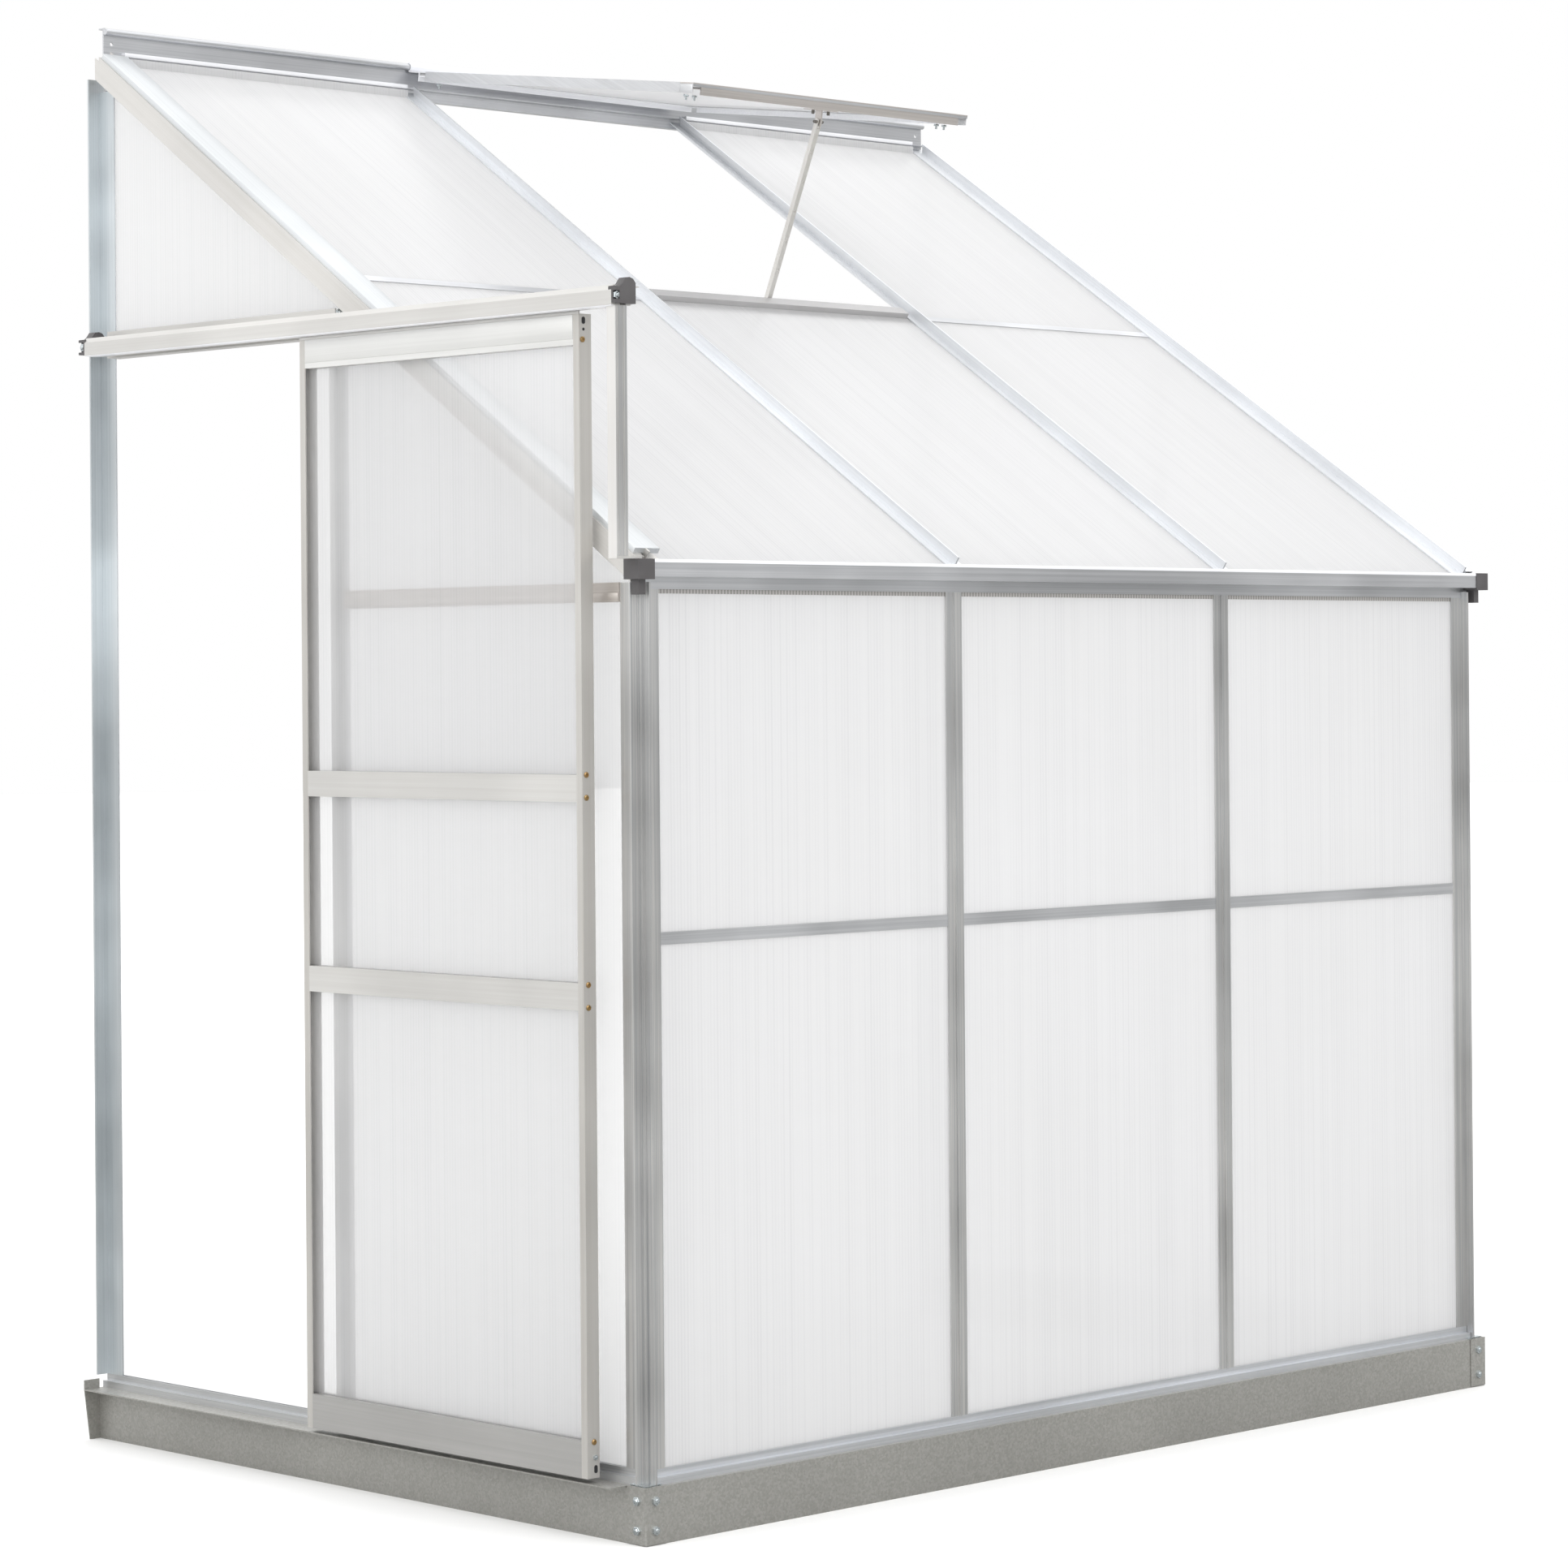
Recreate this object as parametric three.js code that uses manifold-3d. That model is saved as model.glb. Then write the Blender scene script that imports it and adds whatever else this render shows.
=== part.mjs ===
// Lean-to greenhouse: aluminium frame on a folded steel base, twin-wall panels, sliding door, top-hung roof
// vent. Millimetres, +Z up. The model is drawn from the outer corner of the base between door gable and front
// wall: X runs along the front wall, Y runs back to the house wall. At the end it is moved so that the middle
// of its footprint is the origin.
import * as THREE from 'three';
import { mergeVertices } from 'three/addons/utils/BufferGeometryUtils.js';
import Module from 'manifold-3d';

const wasm = await Module();
wasm.setup();

// Overall size; the two heights are those of the roof plane, over the base's front face and at the wall bar
const baseLength = 1860;
const baseDepth = 1253;
const eaveHeight = 1336.6;
const ridgeHeight = 2151.3;

// Steel base
const baseHeight = 78;
const baseSheet = 2;
const baseTopFlange = 30;
const baseBottomFlange = 25;
const doorLedge = 28;
const doorLedgeSetback = 38;
const wallTabRise = 14;
const wallTabFoot = 18;
const wallTabWidth = 30;

// Aluminium sections and glazing
const wall = 2;
const sheet = 4;
const fit = 0.3;
const glazingSetback = 18;
const glazingPlay = 0.6;
const flangeHalf = 16.5;
const ribHalf = 1.5;
const ribHeight = 3;
const webDepth = 20;
const sillStepSetback = 8;
const sillStepHeight = 10;
const sillHeight = 20;
const sillGrooveFloor = 12;
const seam = 4;

// Posts
const middleBay = 598;
const cornerInset = 3;
const cornerReach = 21;
const cornerWall = 3;
const cornerFrontFlange = 26;
const cornerSideFlange = 32;
const wallPostReach = 41;
const wallPostBackReach = 25;
const farPostWallGap = 585;
const wallFlange = 3;
const wallFlangeOut = 4;
const wallFlangeIn = 40;
const wallFlangeRise = 19;
const frontSeamHeight = 815;
const headerDrop = 33;
const headerHeight = 26.5;
const headerThickness = 4;

// Eave beam and its end caps, measured from the beam's floor
const eaveFloorDrop = 31.1;
const eaveFrontOverhang = 11;
const eaveFrontRise = 19.5;
const eaveLegDrop = 16;
const eavePanelGap = 4;
const eaveEndInset = 18;
const capRise = 24;
const capOverhang = 12.5;
const capEndOverhang = 11.5;
const capFloorDrop = 3.5;
const capSkirtDrop = 24;
const capSkirtOut = 1;
const capSkirtWidth = 12;
const capSkirtDepth = 15;

// Roof, in its own slanted plane: across X, up the slope Y, out of the slope Z
const ridgeFace = 13;
const rafterDepth = 24;
const rafterFlangeDrop = 13.5;
const rafterEndSetback = 5.5;
const gableRafterInset = 1;
const gableRafterDepth = 41.4;
const gableRafterTopDrop = 8;
const gableRafterFlange = 50;
const gableRibPlace = 24;
const roofPanelOverhang = 16;
const gablePanelDrop = 2.2;
const roofSeamDrop = 691.7;
const ventSillRise = 18;
const ventSillWidth = 20;
const ventSillLip = 15;
const ventSillTopDrop = 7;

// Wall bar along the top
const ridgeInset = 18;
const ridgePlate = 3;
const ridgePlateDrop = 28;
const ridgePlateRise = 31.7;
const ridgeLipOut = 10;
const ridgeLipDrop = 11.3;
const ridgeRoll = 5;
const ridgeRollSink = 1;
const ridgeHole = 3;
const ridgeHoleInset = 15;
const ridgeHoleDrop = 24;

// Roof vent, in its own plane from the hinge: across X, away from the hinge -Y, out of the plane Z
const ventAngle = 7.35;
const ventLength = 692;
const ventOverlap = 7;
const ventThickness = 16;
const ventHookGap = 0.6;
const ventHookStart = 70;
const ventHookEnd = 260;
const ventHookFoot = 2;
const ventHingeWeb = 28;
const ventRailWidth = 22;
const ventLip = 12;
const ventHingeRailLength = 45;
const ventFrontRailLength = 30;
const ventFaceInset = 19;
const ventFaceDrop = 2;
const ventFaceSetback = 2;

// Stay of the vent
const stayOffset = 16;
const stayPivotSetback = 16.6;
const stayPivotDrop = 44;
const stayLean = 23.45;
const stayLength = 296;
const stayWidth = 9;
const stayDepth = 8;
const stayWall = 1.5;
const stayHead = 5;
const stayTail = 8;
const stayPin = 2;
const stayHole = 2;
const stayHoles = 6;
const bracketWidth = 54;
const bracketSheet = 1.5;
const bracketLength = 22;
const lugHalf = 6.5;
const lugThickness = 3;
const lugRunOver = 6;

// Door transom, track and the post that carries the free end of the track
const transomRoofGap = 5.1;
const transomHeight = 41;
const transomShelf = 31;
const transomFace = 0.5;
const trackLift = 1;
const trackHeight = 27;
const trackOut = 22;
const trackBevelWidth = 4;
const trackBevelHeight = 7;
const trackSlotOut = 6;
const trackSlot = 10;
const trackBackLip = 7;
const trackNearEnd = 4;
const trackWallGap = 52;
const outriggerInset = 5;
const outriggerWidth = 20.5;
const outriggerDepth = 17;
const outriggerFront = 6;
const outriggerFoot = 3;

// Sliding door, shown slid open towards the front; rails are placed from the door's lower edge
const doorPlace = 86;
const doorWidth = 611;
const doorLap = 83.5;
const doorGap = 6;
const doorThickness = 22;
const doorFootGap = 6;
const doorHeadGap = 5;
const stileWidth = 12;
const bottomRailHeight = 50;
const midRailHeight = 37;
const lowerRailPlace = 634;
const upperRailPlace = 917;
const topRailHeight = 42;
const doorPanelEntry = 10;
const rollerInset = 60;
const rollerRadius = 9;
const rollerWidth = 7;
const rollerGroove = 1;
const axleRadius = 2.5;
const axleBoss = 4;
const axleHead = 1.5;
const axleSideGap = 0.5;
const hangerHalf = 15;
const hangerOver = 9;

// Counts of sides and the overrun of cuts
const roundSides = 16;
const smallSides = 10;
const overrun = 5;

// Values worked out from the sizes above
const radians = Math.PI / 180;
const ridgePlateFront = baseDepth - ridgeFace;
const roofAngle = Math.atan((ridgeHeight - eaveHeight) / ridgePlateFront);
const roofCos = Math.cos(roofAngle);
const roofSin = Math.sin(roofAngle);
const sillTop = baseHeight + sillHeight;
const panelBottom = baseHeight + sillGrooveFloor;
const panelPlane = [glazingSetback, glazingSetback + sheet];
const flangePlane = [glazingSetback - wall, glazingSetback];
const grooveWidth = sheet + glazingPlay;
const grooveBack = glazingSetback + grooveWidth;
const sillBack = grooveBack + wall;
const cornerPostInner = cornerInset + cornerReach;
const sillStart = Math.max(cornerPostInner, sillBack) + fit;
const cornerSideEnd = cornerPostInner + cornerSideFlange;
const postLeft = (baseLength - middleBay) / 2;
const postRight = (baseLength + middleBay) / 2;
const gablePostPlace = baseDepth - wallPostReach - (doorWidth - doorLap) - flangeHalf;
const farPostPlace = baseDepth - farPostWallGap;
const gablePostEdge = gablePostPlace - flangeHalf - ribHalf;
const farPostEdge = farPostPlace - flangeHalf - ribHalf;
const eaveFloor = eaveHeight - eaveFloorDrop;
const eaveLegBottom = eaveFloor - eaveLegDrop;
const eaveBack = glazingSetback;
const capTop = eaveFloor + capRise;
const capBottom = eaveFloor - capFloorDrop;
const rafterWebStart = eaveBack + fit;
const rafterFlangeTop = -rafterFlangeDrop;
const rafterFlangeBottom = rafterFlangeTop - wall;
const roofPanelTop = rafterFlangeBottom - fit;
const roofPanelBottom = roofPanelTop - sheet;
const roofSeamPlace = ridgePlateFront / roofCos - roofSeamDrop;
const ventSillTop = roofSeamPlace + ventSillRise;
const ridgeTop = ridgeHeight + ridgePlateRise;
const ridgeRollOut = ridgeRoll - ridgeRollSink;
const ridgeRollY = ridgePlateFront - ridgeRollOut;
const ridgeRollZ = ridgeTop - ridgeRoll - ridgeRollSink;
const hookInner = ridgeRoll + ventHookGap;
const hookOuter = hookInner + wall;
const ventDrop = hookInner + wall / 2;
const ventLeft = postLeft - ventOverlap;
const ventRight = postRight + ventOverlap;
const stayPlace = baseLength / 2 - stayOffset;
const stayPivotOut = ventLength - stayPivotSetback;
const transomBottom = slopeHeight(gablePostEdge, -gableRafterDepth) - transomRoofGap - transomHeight;
const doorFace = doorGap + doorThickness;
const trackFront = doorFace + trackOut;
const trackBottom = transomBottom + trackLift;
const trackTop = trackBottom + trackHeight;
const outriggerLeft = outriggerInset - trackFront;
const doorBottom = baseHeight + doorFootGap;
const doorTop = trackBottom - doorHeadGap;
const rollerHeight = trackBottom + wall + rollerRadius + fit;

// Materials
const aluminium = new THREE.MeshStandardMaterial({ color: 0xb9babb, roughness: 0.35, metalness: 0.9 });
const galvanised = new THREE.MeshStandardMaterial({ color: 0xa5a59d, roughness: 0.5, metalness: 0.8 });
const blackPlastic = new THREE.MeshStandardMaterial({ color: 0x4a4a4c, roughness: 0.6, metalness: 0 });
const nylon = new THREE.MeshStandardMaterial({ color: 0xe4e2da, roughness: 0.5, metalness: 0 });
const twinWall = new THREE.MeshStandardMaterial({ color: 0xf0f0f2, roughness: 0.3, metalness: 0 });

// Shape helpers

function outline(points, hole = []) {
  const outer = points.map(([a, b]) => new THREE.Vector2(a, b));
  const inner = hole.map(([a, b]) => new THREE.Vector2(a, b));
  if (THREE.ShapeUtils.isClockWise(outer)) inner.reverse();
  const shape = new THREE.Shape(outer);
  if (inner.length > 0) shape.holes.push(new THREE.Path(inner));
  return shape;
}

function extrude(shape, depth) {
  return new THREE.ExtrudeGeometry(shape, { depth, bevelEnabled: false, curveSegments: smallSides });
}

// A section drawn in Y and Z, run along X
function alongX(shape, from, to) {
  const turn = new THREE.Matrix4().makeBasis(
    new THREE.Vector3(0, 1, 0),
    new THREE.Vector3(0, 0, 1),
    new THREE.Vector3(1, 0, 0),
  );
  return extrude(shape, to - from).applyMatrix4(turn).translate(from, 0, 0);
}

// A section drawn in X and Z, run along Y
function alongY(shape, from, to) {
  return extrude(shape, to - from).rotateX(Math.PI / 2).translate(0, to, 0);
}

// A section drawn in X and Y, run along Z
function alongZ(shape, from, to) {
  return extrude(shape, to - from).translate(0, 0, from);
}

function box([x0, x1], [y0, y1], [z0, z1]) {
  const geometry = new THREE.BoxGeometry(x1 - x0, y1 - y0, z1 - z0);
  return geometry.translate((x0 + x1) / 2, (y0 + y1) / 2, (z0 + z1) / 2);
}

// A round bar along X
function bar(radius, [x0, x1], y, z, sides) {
  const geometry = new THREE.CylinderGeometry(radius, radius, x1 - x0, sides);
  return geometry.rotateZ(Math.PI / 2).translate((x0 + x1) / 2, y, z);
}

// Closed mesh to solid and back, for cuts and joins
function toSolid(geometry) {
  const bare = geometry.clone();
  bare.deleteAttribute('normal');
  bare.deleteAttribute('uv');
  const merged = mergeVertices(bare);
  return new wasm.Manifold(new wasm.Mesh({
    numProp: 3,
    vertProperties: new Float32Array(merged.attributes.position.array),
    triVerts: new Uint32Array(merged.index.array),
  }));
}

function toGeometry(solid) {
  const mesh = solid.getMesh();
  const geometry = new THREE.BufferGeometry();
  geometry.setAttribute('position', new THREE.BufferAttribute(mesh.vertProperties, mesh.numProp));
  geometry.setIndex(new THREE.BufferAttribute(mesh.triVerts, 1));
  geometry.computeVertexNormals();
  return geometry;
}

function joined(first, ...others) {
  return toGeometry(others.reduce((solid, other) => solid.add(toSolid(other)), toSolid(first)));
}

function cutBy(first, ...tools) {
  return toGeometry(tools.reduce((solid, tool) => solid.subtract(toSolid(tool)), toSolid(first)));
}

function common(first, second) {
  return toGeometry(toSolid(first).intersect(toSolid(second)));
}

function piece(name, geometry, material) {
  const mesh = new THREE.Mesh(geometry, material.clone());
  mesh.name = name;
  return mesh;
}

// The far gable mirrors the door gable about the middle of the front wall
function placeX(side, x) {
  return side === 'right' ? baseLength - x : x;
}

function mirrored(side, points) {
  return points.map(([x, other]) => [placeX(side, x), other]);
}

function spanX(side, from, to) {
  const ends = [placeX(side, from), placeX(side, to)];
  return ends.sort((a, b) => a - b);
}

// Steel base

function baseFront() {
  const web = box([0, baseLength], [0, baseSheet], [0, baseHeight]);
  const inside = [baseSheet, baseLength - baseSheet];
  const top = box(inside, [0, baseTopFlange], [baseHeight - baseSheet, baseHeight]);
  const bottom = box(inside, [0, baseBottomFlange], [0, baseSheet]);
  return joined(web, top, bottom);
}

function baseSide(side) {
  const web = box(spanX(side, 0, baseSheet), [baseSheet, baseDepth], [0, baseHeight]);
  const topRun = [baseTopFlange + fit, baseDepth];
  const top = box(spanX(side, 0, baseTopFlange), topRun, [baseHeight - baseSheet, baseHeight]);
  const bottom = box(spanX(side, 0, baseBottomFlange), [baseBottomFlange + fit, baseDepth], [0, baseSheet]);
  return [web, top, bottom];
}

// The door side carries an outward ledge under the door and a tapered tab that meets the house wall
function baseDoorSide() {
  const ledgeRun = [doorLedgeSetback, baseDepth];
  const ledge = box([-doorLedge, baseSheet], ledgeRun, [baseHeight - baseSheet, baseHeight]);
  const tabShape = outline([
    [0, 0],
    [-wallTabFoot, 0],
    [-doorLedge, baseHeight],
    [-doorLedge, baseHeight + wallTabRise],
    [0, baseHeight + wallTabRise],
    [0, baseHeight - baseSheet],
    [baseSheet, baseHeight - baseSheet],
    [baseSheet, 0],
  ]);
  const tab = alongY(tabShape, baseDepth - baseSheet, baseDepth);
  return joined(...baseSide('left'), ledge, tab);
}

function baseFarSide() {
  const tab = box(spanX('right', 0, wallTabWidth), [baseDepth - baseSheet, baseDepth], [0, baseHeight]);
  return joined(...baseSide('right'), tab);
}

// Sills: stepped outside, with a groove on top for the panels; a is measured inwards from the base face
function sillSection() {
  const up = (height) => baseHeight + height;
  return [
    [sillStepSetback, up(0)],
    [sillStepSetback, up(sillStepHeight)],
    [glazingSetback - wall, up(sillStepHeight)],
    [glazingSetback - wall, up(sillHeight)],
    [glazingSetback, up(sillHeight)],
    [glazingSetback, up(sillGrooveFloor)],
    [grooveBack, up(sillGrooveFloor)],
    [grooveBack, up(sillHeight)],
    [sillBack, up(sillHeight)],
    [sillBack, up(0)],
    [grooveBack, up(0)],
    [grooveBack, up(sillGrooveFloor - wall)],
    [glazingSetback, up(sillGrooveFloor - wall)],
    [glazingSetback, up(sillStepHeight - wall)],
    [sillStepSetback + wall, up(sillStepHeight - wall)],
    [sillStepSetback + wall, up(0)],
  ];
}

function sillFront() {
  return alongX(outline(sillSection()), sillStart, baseLength - sillStart);
}

function sillSide(side) {
  return alongY(outline(mirrored(side, sillSection())), sillStart, baseDepth);
}

// Corner posts: a section folded inwards at the corner, with a glazing flange each way
function cornerPostTop() {
  return slopeHeight(glazingSetback, -gableRafterDepth) - fit;
}

function cornerPost(side) {
  const near = cornerInset;
  const far = cornerPostInner;
  const arm = far - cornerWall;
  const [fold, inner] = flangePlane;
  const section = [
    [far, near],
    [far, inner],
    [inner, inner],
    [inner, far],
    [near, far],
    [near, arm],
    [fold, arm],
    [fold, fold],
    [arm, fold],
    [arm, near],
  ];
  const post = alongZ(outline(mirrored(side, section)), baseHeight, cornerPostTop());
  const frontSpan = spanX(side, arm, far + cornerFrontFlange);
  const frontFlange = box(frontSpan, flangePlane, [sillTop, eaveLegBottom]);
  const sideFlange = box(spanX(side, ...flangePlane), [arm, cornerSideEnd], [sillTop, cornerPostTop()]);
  return joined(post, frontFlange, sideFlange);
}

// Glazing bar section: flange with a rib outside and a web inside, c across and d inwards
function glazingBar(place, direction) {
  const at = (c, d) => (direction === 'y' ? [place + c, d] : [d, place + c]);
  const halfWall = wall / 2;
  return [
    at(-flangeHalf, glazingSetback - wall),
    at(-ribHalf, glazingSetback - wall),
    at(-ribHalf, glazingSetback - wall - ribHeight),
    at(ribHalf, glazingSetback - wall - ribHeight),
    at(ribHalf, glazingSetback - wall),
    at(flangeHalf, glazingSetback - wall),
    at(flangeHalf, glazingSetback),
    at(halfWall, glazingSetback),
    at(halfWall, glazingSetback + webDepth),
    at(-halfWall, glazingSetback + webDepth),
    at(-halfWall, glazingSetback),
    at(-flangeHalf, glazingSetback),
  ];
}

function frontPost(place) {
  return alongZ(outline(glazingBar(place, 'y')), sillTop, eaveLegBottom);
}

function gablePost(side, place, top) {
  return alongZ(outline(mirrored(side, glazingBar(place, 'x'))), sillTop, top);
}

// Height of a plane parallel to the roof, at a distance out of the slope
function slopeHeight(y, out) {
  return eaveHeight + (y * roofSin + out) / roofCos;
}

// Place along the slope of a vertical line, at a distance out of the slope
function slopePlace(y, out) {
  return (y + out * roofSin) / roofCos;
}

// Wall posts: flange on the house wall, groove for the gable panel
function wallPost(side) {
  const back = baseDepth - wallFlange;
  const front = baseDepth - wallPostReach;
  const section = [
    [-wallFlangeOut, baseDepth],
    [-wallFlangeOut, back],
    [glazingSetback - wall, back],
    [glazingSetback - wall, front],
    [glazingSetback, front],
    [glazingSetback, back],
    [grooveBack, back],
    [grooveBack, baseDepth - wallPostBackReach],
    [grooveBack + wall, baseDepth - wallPostBackReach],
    [grooveBack + wall, back],
    [wallFlangeIn, back],
    [wallFlangeIn, baseDepth],
  ];
  const top = slopeHeight(front, -gableRafterDepth) - fit;
  const post = alongZ(outline(mirrored(side, section)), sillTop, top);
  const flange = box(
    spanX(side, -wallFlangeOut, wallFlangeIn),
    [back, baseDepth],
    [sillTop, top + wallFlangeRise],
  );
  return joined(post, flange);
}

// Header bar across the front part of a gable at eave height, on the outside of the panel
function gableHeader(side, postEdge) {
  const across = spanX(side, glazingSetback - headerThickness, glazingSetback);
  const bottom = eaveFloor - headerDrop;
  return box(across, [cornerSideEnd, postEdge + ribHalf], [bottom, bottom + headerHeight]);
}

// Eave beam: a gutter with a leg in front of the panels and a back web under the roof panels; the leg makes
// way for the corner posts
function eaveBeam() {
  const webTop = slopeHeight(eaveBack - wall, roofPanelBottom) - fit;
  const frontTop = eaveFloor + eaveFrontRise;
  const section = outline([
    [-eaveFrontOverhang, eaveFloor],
    [eaveBack - wall, eaveFloor],
    [eaveBack - wall, eaveLegBottom],
    [eaveBack, eaveLegBottom],
    [eaveBack, webTop],
    [eaveBack - wall, webTop],
    [eaveBack - wall, eaveFloor + wall],
    [wall - eaveFrontOverhang, eaveFloor + wall],
    [wall - eaveFrontOverhang, frontTop],
    [-eaveFrontOverhang, frontTop],
  ]);
  const beam = alongX(section, eaveEndInset, baseLength - eaveEndInset);
  const notches = ['left', 'right'].map((side) => box(
    spanX(side, eaveEndInset - overrun, cornerPostInner + fit),
    [eaveBack - wall - overrun, eaveBack + overrun],
    [eaveLegBottom - overrun, cornerPostTop() + fit],
  ));
  return cutBy(beam, ...notches);
}

// Caps: a block over the end of the beam, with a smaller block below it in the fold of the corner post
function eaveCap(side) {
  const block = box(
    spanX(side, -capEndOverhang, eaveEndInset),
    [-capOverhang, eaveBack],
    [capBottom, capTop],
  );
  const skirt = box(
    spanX(side, -capSkirtOut, capSkirtWidth - capSkirtOut),
    [-capSkirtOut, capSkirtDepth - capSkirtOut],
    [eaveFloor - capSkirtDrop, capBottom + wall],
  );
  return joined(block, skirt);
}

// Wall bar: upright plate with a hinge roll at the top, a lip over the roof panels, two flanges back to the
// wall
function ridgeBar() {
  const front = ridgePlateFront;
  const back = front + ridgePlate;
  const lipBottom = ridgeHeight - ridgeLipDrop;
  const shape = new THREE.Shape();
  const rollTurn = Math.acos(ridgeRollOut / ridgeRoll);
  const bottom = ridgeHeight - ridgePlateDrop;
  shape.moveTo(baseDepth, bottom);
  shape.lineTo(baseDepth, bottom + wall);
  shape.lineTo(back, bottom + wall);
  shape.lineTo(back, ridgeTop - wall);
  shape.lineTo(baseDepth, ridgeTop - wall);
  shape.lineTo(baseDepth, ridgeTop);
  shape.lineTo(front, ridgeTop);
  shape.absarc(ridgeRollY, ridgeRollZ, ridgeRoll, rollTurn, -rollTurn, false);
  shape.lineTo(front, lipBottom + wall);
  shape.lineTo(front - ridgeLipOut, lipBottom + wall);
  shape.lineTo(front - ridgeLipOut, lipBottom);
  shape.lineTo(front, lipBottom);
  shape.lineTo(front, bottom);
  const ridge = alongX(shape, ridgeInset, baseLength - ridgeInset);
  const holes = ['left', 'right'].map((side) => {
    const hole = new THREE.CylinderGeometry(ridgeHole, ridgeHole, ridgePlate + overrun, smallSides);
    const x = placeX(side, ridgeInset + ridgeHoleInset);
    return hole.translate(x, front + ridgePlate / 2, ridgeTop - ridgeHoleDrop);
  });
  return cutBy(ridge, ...holes);
}

// Side silhouette of a rafter: lower end square to the slope with a given foot, lower part cut upright behind
// the eave beam and at the wall bar, upper part stopped in front of the wall bar's lip
function rafterSilhouette(from, to, foot) {
  const top = overrun;
  const bottom = -gableRafterDepth - overrun;
  const end = ridgePlateFront - fit;
  const lip = end - ridgeLipOut;
  return alongX(outline([
    [rafterEndSetback, top],
    ...foot,
    [slopePlace(rafterWebStart, bottom), bottom],
    [slopePlace(end, bottom), bottom],
    [slopePlace(end, rafterFlangeTop), rafterFlangeTop],
    [slopePlace(lip, rafterFlangeTop), rafterFlangeTop],
    [slopePlace(lip, top), top],
  ]), from, to);
}

function rafterRun() {
  return [-gableRafterDepth, baseDepth / roofCos];
}

function glazingRafter(place) {
  const halfWall = wall / 2;
  const section = outline([
    [place - flangeHalf, rafterFlangeTop],
    [place - flangeHalf, rafterFlangeBottom],
    [place - halfWall, rafterFlangeBottom],
    [place - halfWall, -rafterDepth],
    [place + halfWall, -rafterDepth],
    [place + halfWall, rafterFlangeBottom],
    [place + flangeHalf, rafterFlangeBottom],
    [place + flangeHalf, rafterFlangeTop],
    [place + ribHalf, rafterFlangeTop],
    [place + ribHalf, 0],
    [place - ribHalf, 0],
    [place - ribHalf, rafterFlangeTop],
  ]);
  const foot = [
    [rafterEndSetback, rafterFlangeBottom],
    [slopePlace(rafterWebStart, rafterFlangeBottom), rafterFlangeBottom],
  ];
  const silhouette = rafterSilhouette(place - flangeHalf - overrun, place + flangeHalf + overrun, foot);
  return common(alongY(section, ...rafterRun()), silhouette);
}

// Gable rafters: a box whose inner wall holds the gable panel, with a ribbed flange over the roof panel; the
// foot rests on the cap of the eave beam
function gableRafter(side) {
  const outer = gableRafterInset;
  const bottom = -gableRafterDepth;
  const top = -gableRafterTopDrop;
  const outside = [
    [outer, bottom],
    [glazingSetback, bottom],
    [glazingSetback, rafterFlangeBottom],
    [gableRafterFlange, rafterFlangeBottom],
    [gableRafterFlange, rafterFlangeTop],
    [gableRibPlace + ribHalf, rafterFlangeTop],
    [gableRibPlace + ribHalf, 0],
    [gableRibPlace - ribHalf, 0],
    [gableRibPlace - ribHalf, rafterFlangeTop],
    [glazingSetback, rafterFlangeTop],
    [glazingSetback, top],
    [outer, top],
  ];
  const inside = [
    [outer + wall, bottom + wall],
    [glazingSetback - wall, bottom + wall],
    [glazingSetback - wall, top - wall],
    [outer + wall, top - wall],
  ];
  const section = outline(mirrored(side, outside), mirrored(side, inside));
  const seat = capTop + fit - eaveHeight;
  const foot = [
    [rafterEndSetback, (seat - rafterEndSetback * roofSin) / roofCos],
    [rafterWebStart * roofCos + seat * roofSin, seat * roofCos - rafterWebStart * roofSin],
  ];
  const silhouette = rafterSilhouette(...spanX(side, outer - overrun, gableRafterFlange + overrun), foot);
  return common(alongY(section, ...rafterRun()), silhouette);
}

// Twin-wall panels between two uprights of the front wall or two rafters
function bays() {
  const gap = wall / 2 + fit;
  const start = cornerPostInner + fit;
  return [
    [start, postLeft - gap],
    [postLeft + gap, postRight - gap],
    [postRight + gap, baseLength - start],
  ];
}

function roofBays() {
  const [first, middle, last] = bays();
  const start = glazingSetback + fit;
  return [[start, first[1]], middle, [last[0], baseLength - start]];
}

function roofPanel([x0, x1], from, to) {
  return box([x0, x1], [from, to], [roofPanelBottom, roofPanelTop]);
}

// Sill of the vent opening: a bar between the rafter webs with a lip that carries the upper edge of the panel
// below it, and a raised kerb between the rafter flanges
function ventSill() {
  const edge = ventSillTop - ventSillWidth;
  const underside = roofPanelBottom - fit;
  const section = outline([
    [edge - ventSillLip, underside - wall],
    [ventSillTop, underside - wall],
    [ventSillTop, roofPanelTop],
    [edge, roofPanelTop],
    [edge, underside],
    [edge - ventSillLip, underside],
  ]);
  const kerbRun = [postLeft + flangeHalf + fit, postRight - flangeHalf - fit];
  const kerb = box(kerbRun, [edge, ventSillTop], [underside, -ventSillTopDrop]);
  return joined(alongX(section, ...bays()[1]), kerb);
}

// Gable panels run up under the roof panels
function gablePanelTop(y) {
  return slopeHeight(y, roofPanelBottom - gablePanelDrop);
}

function gablePanel(side, points) {
  return alongX(outline(points), ...spanX(side, ...panelPlane));
}

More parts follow.
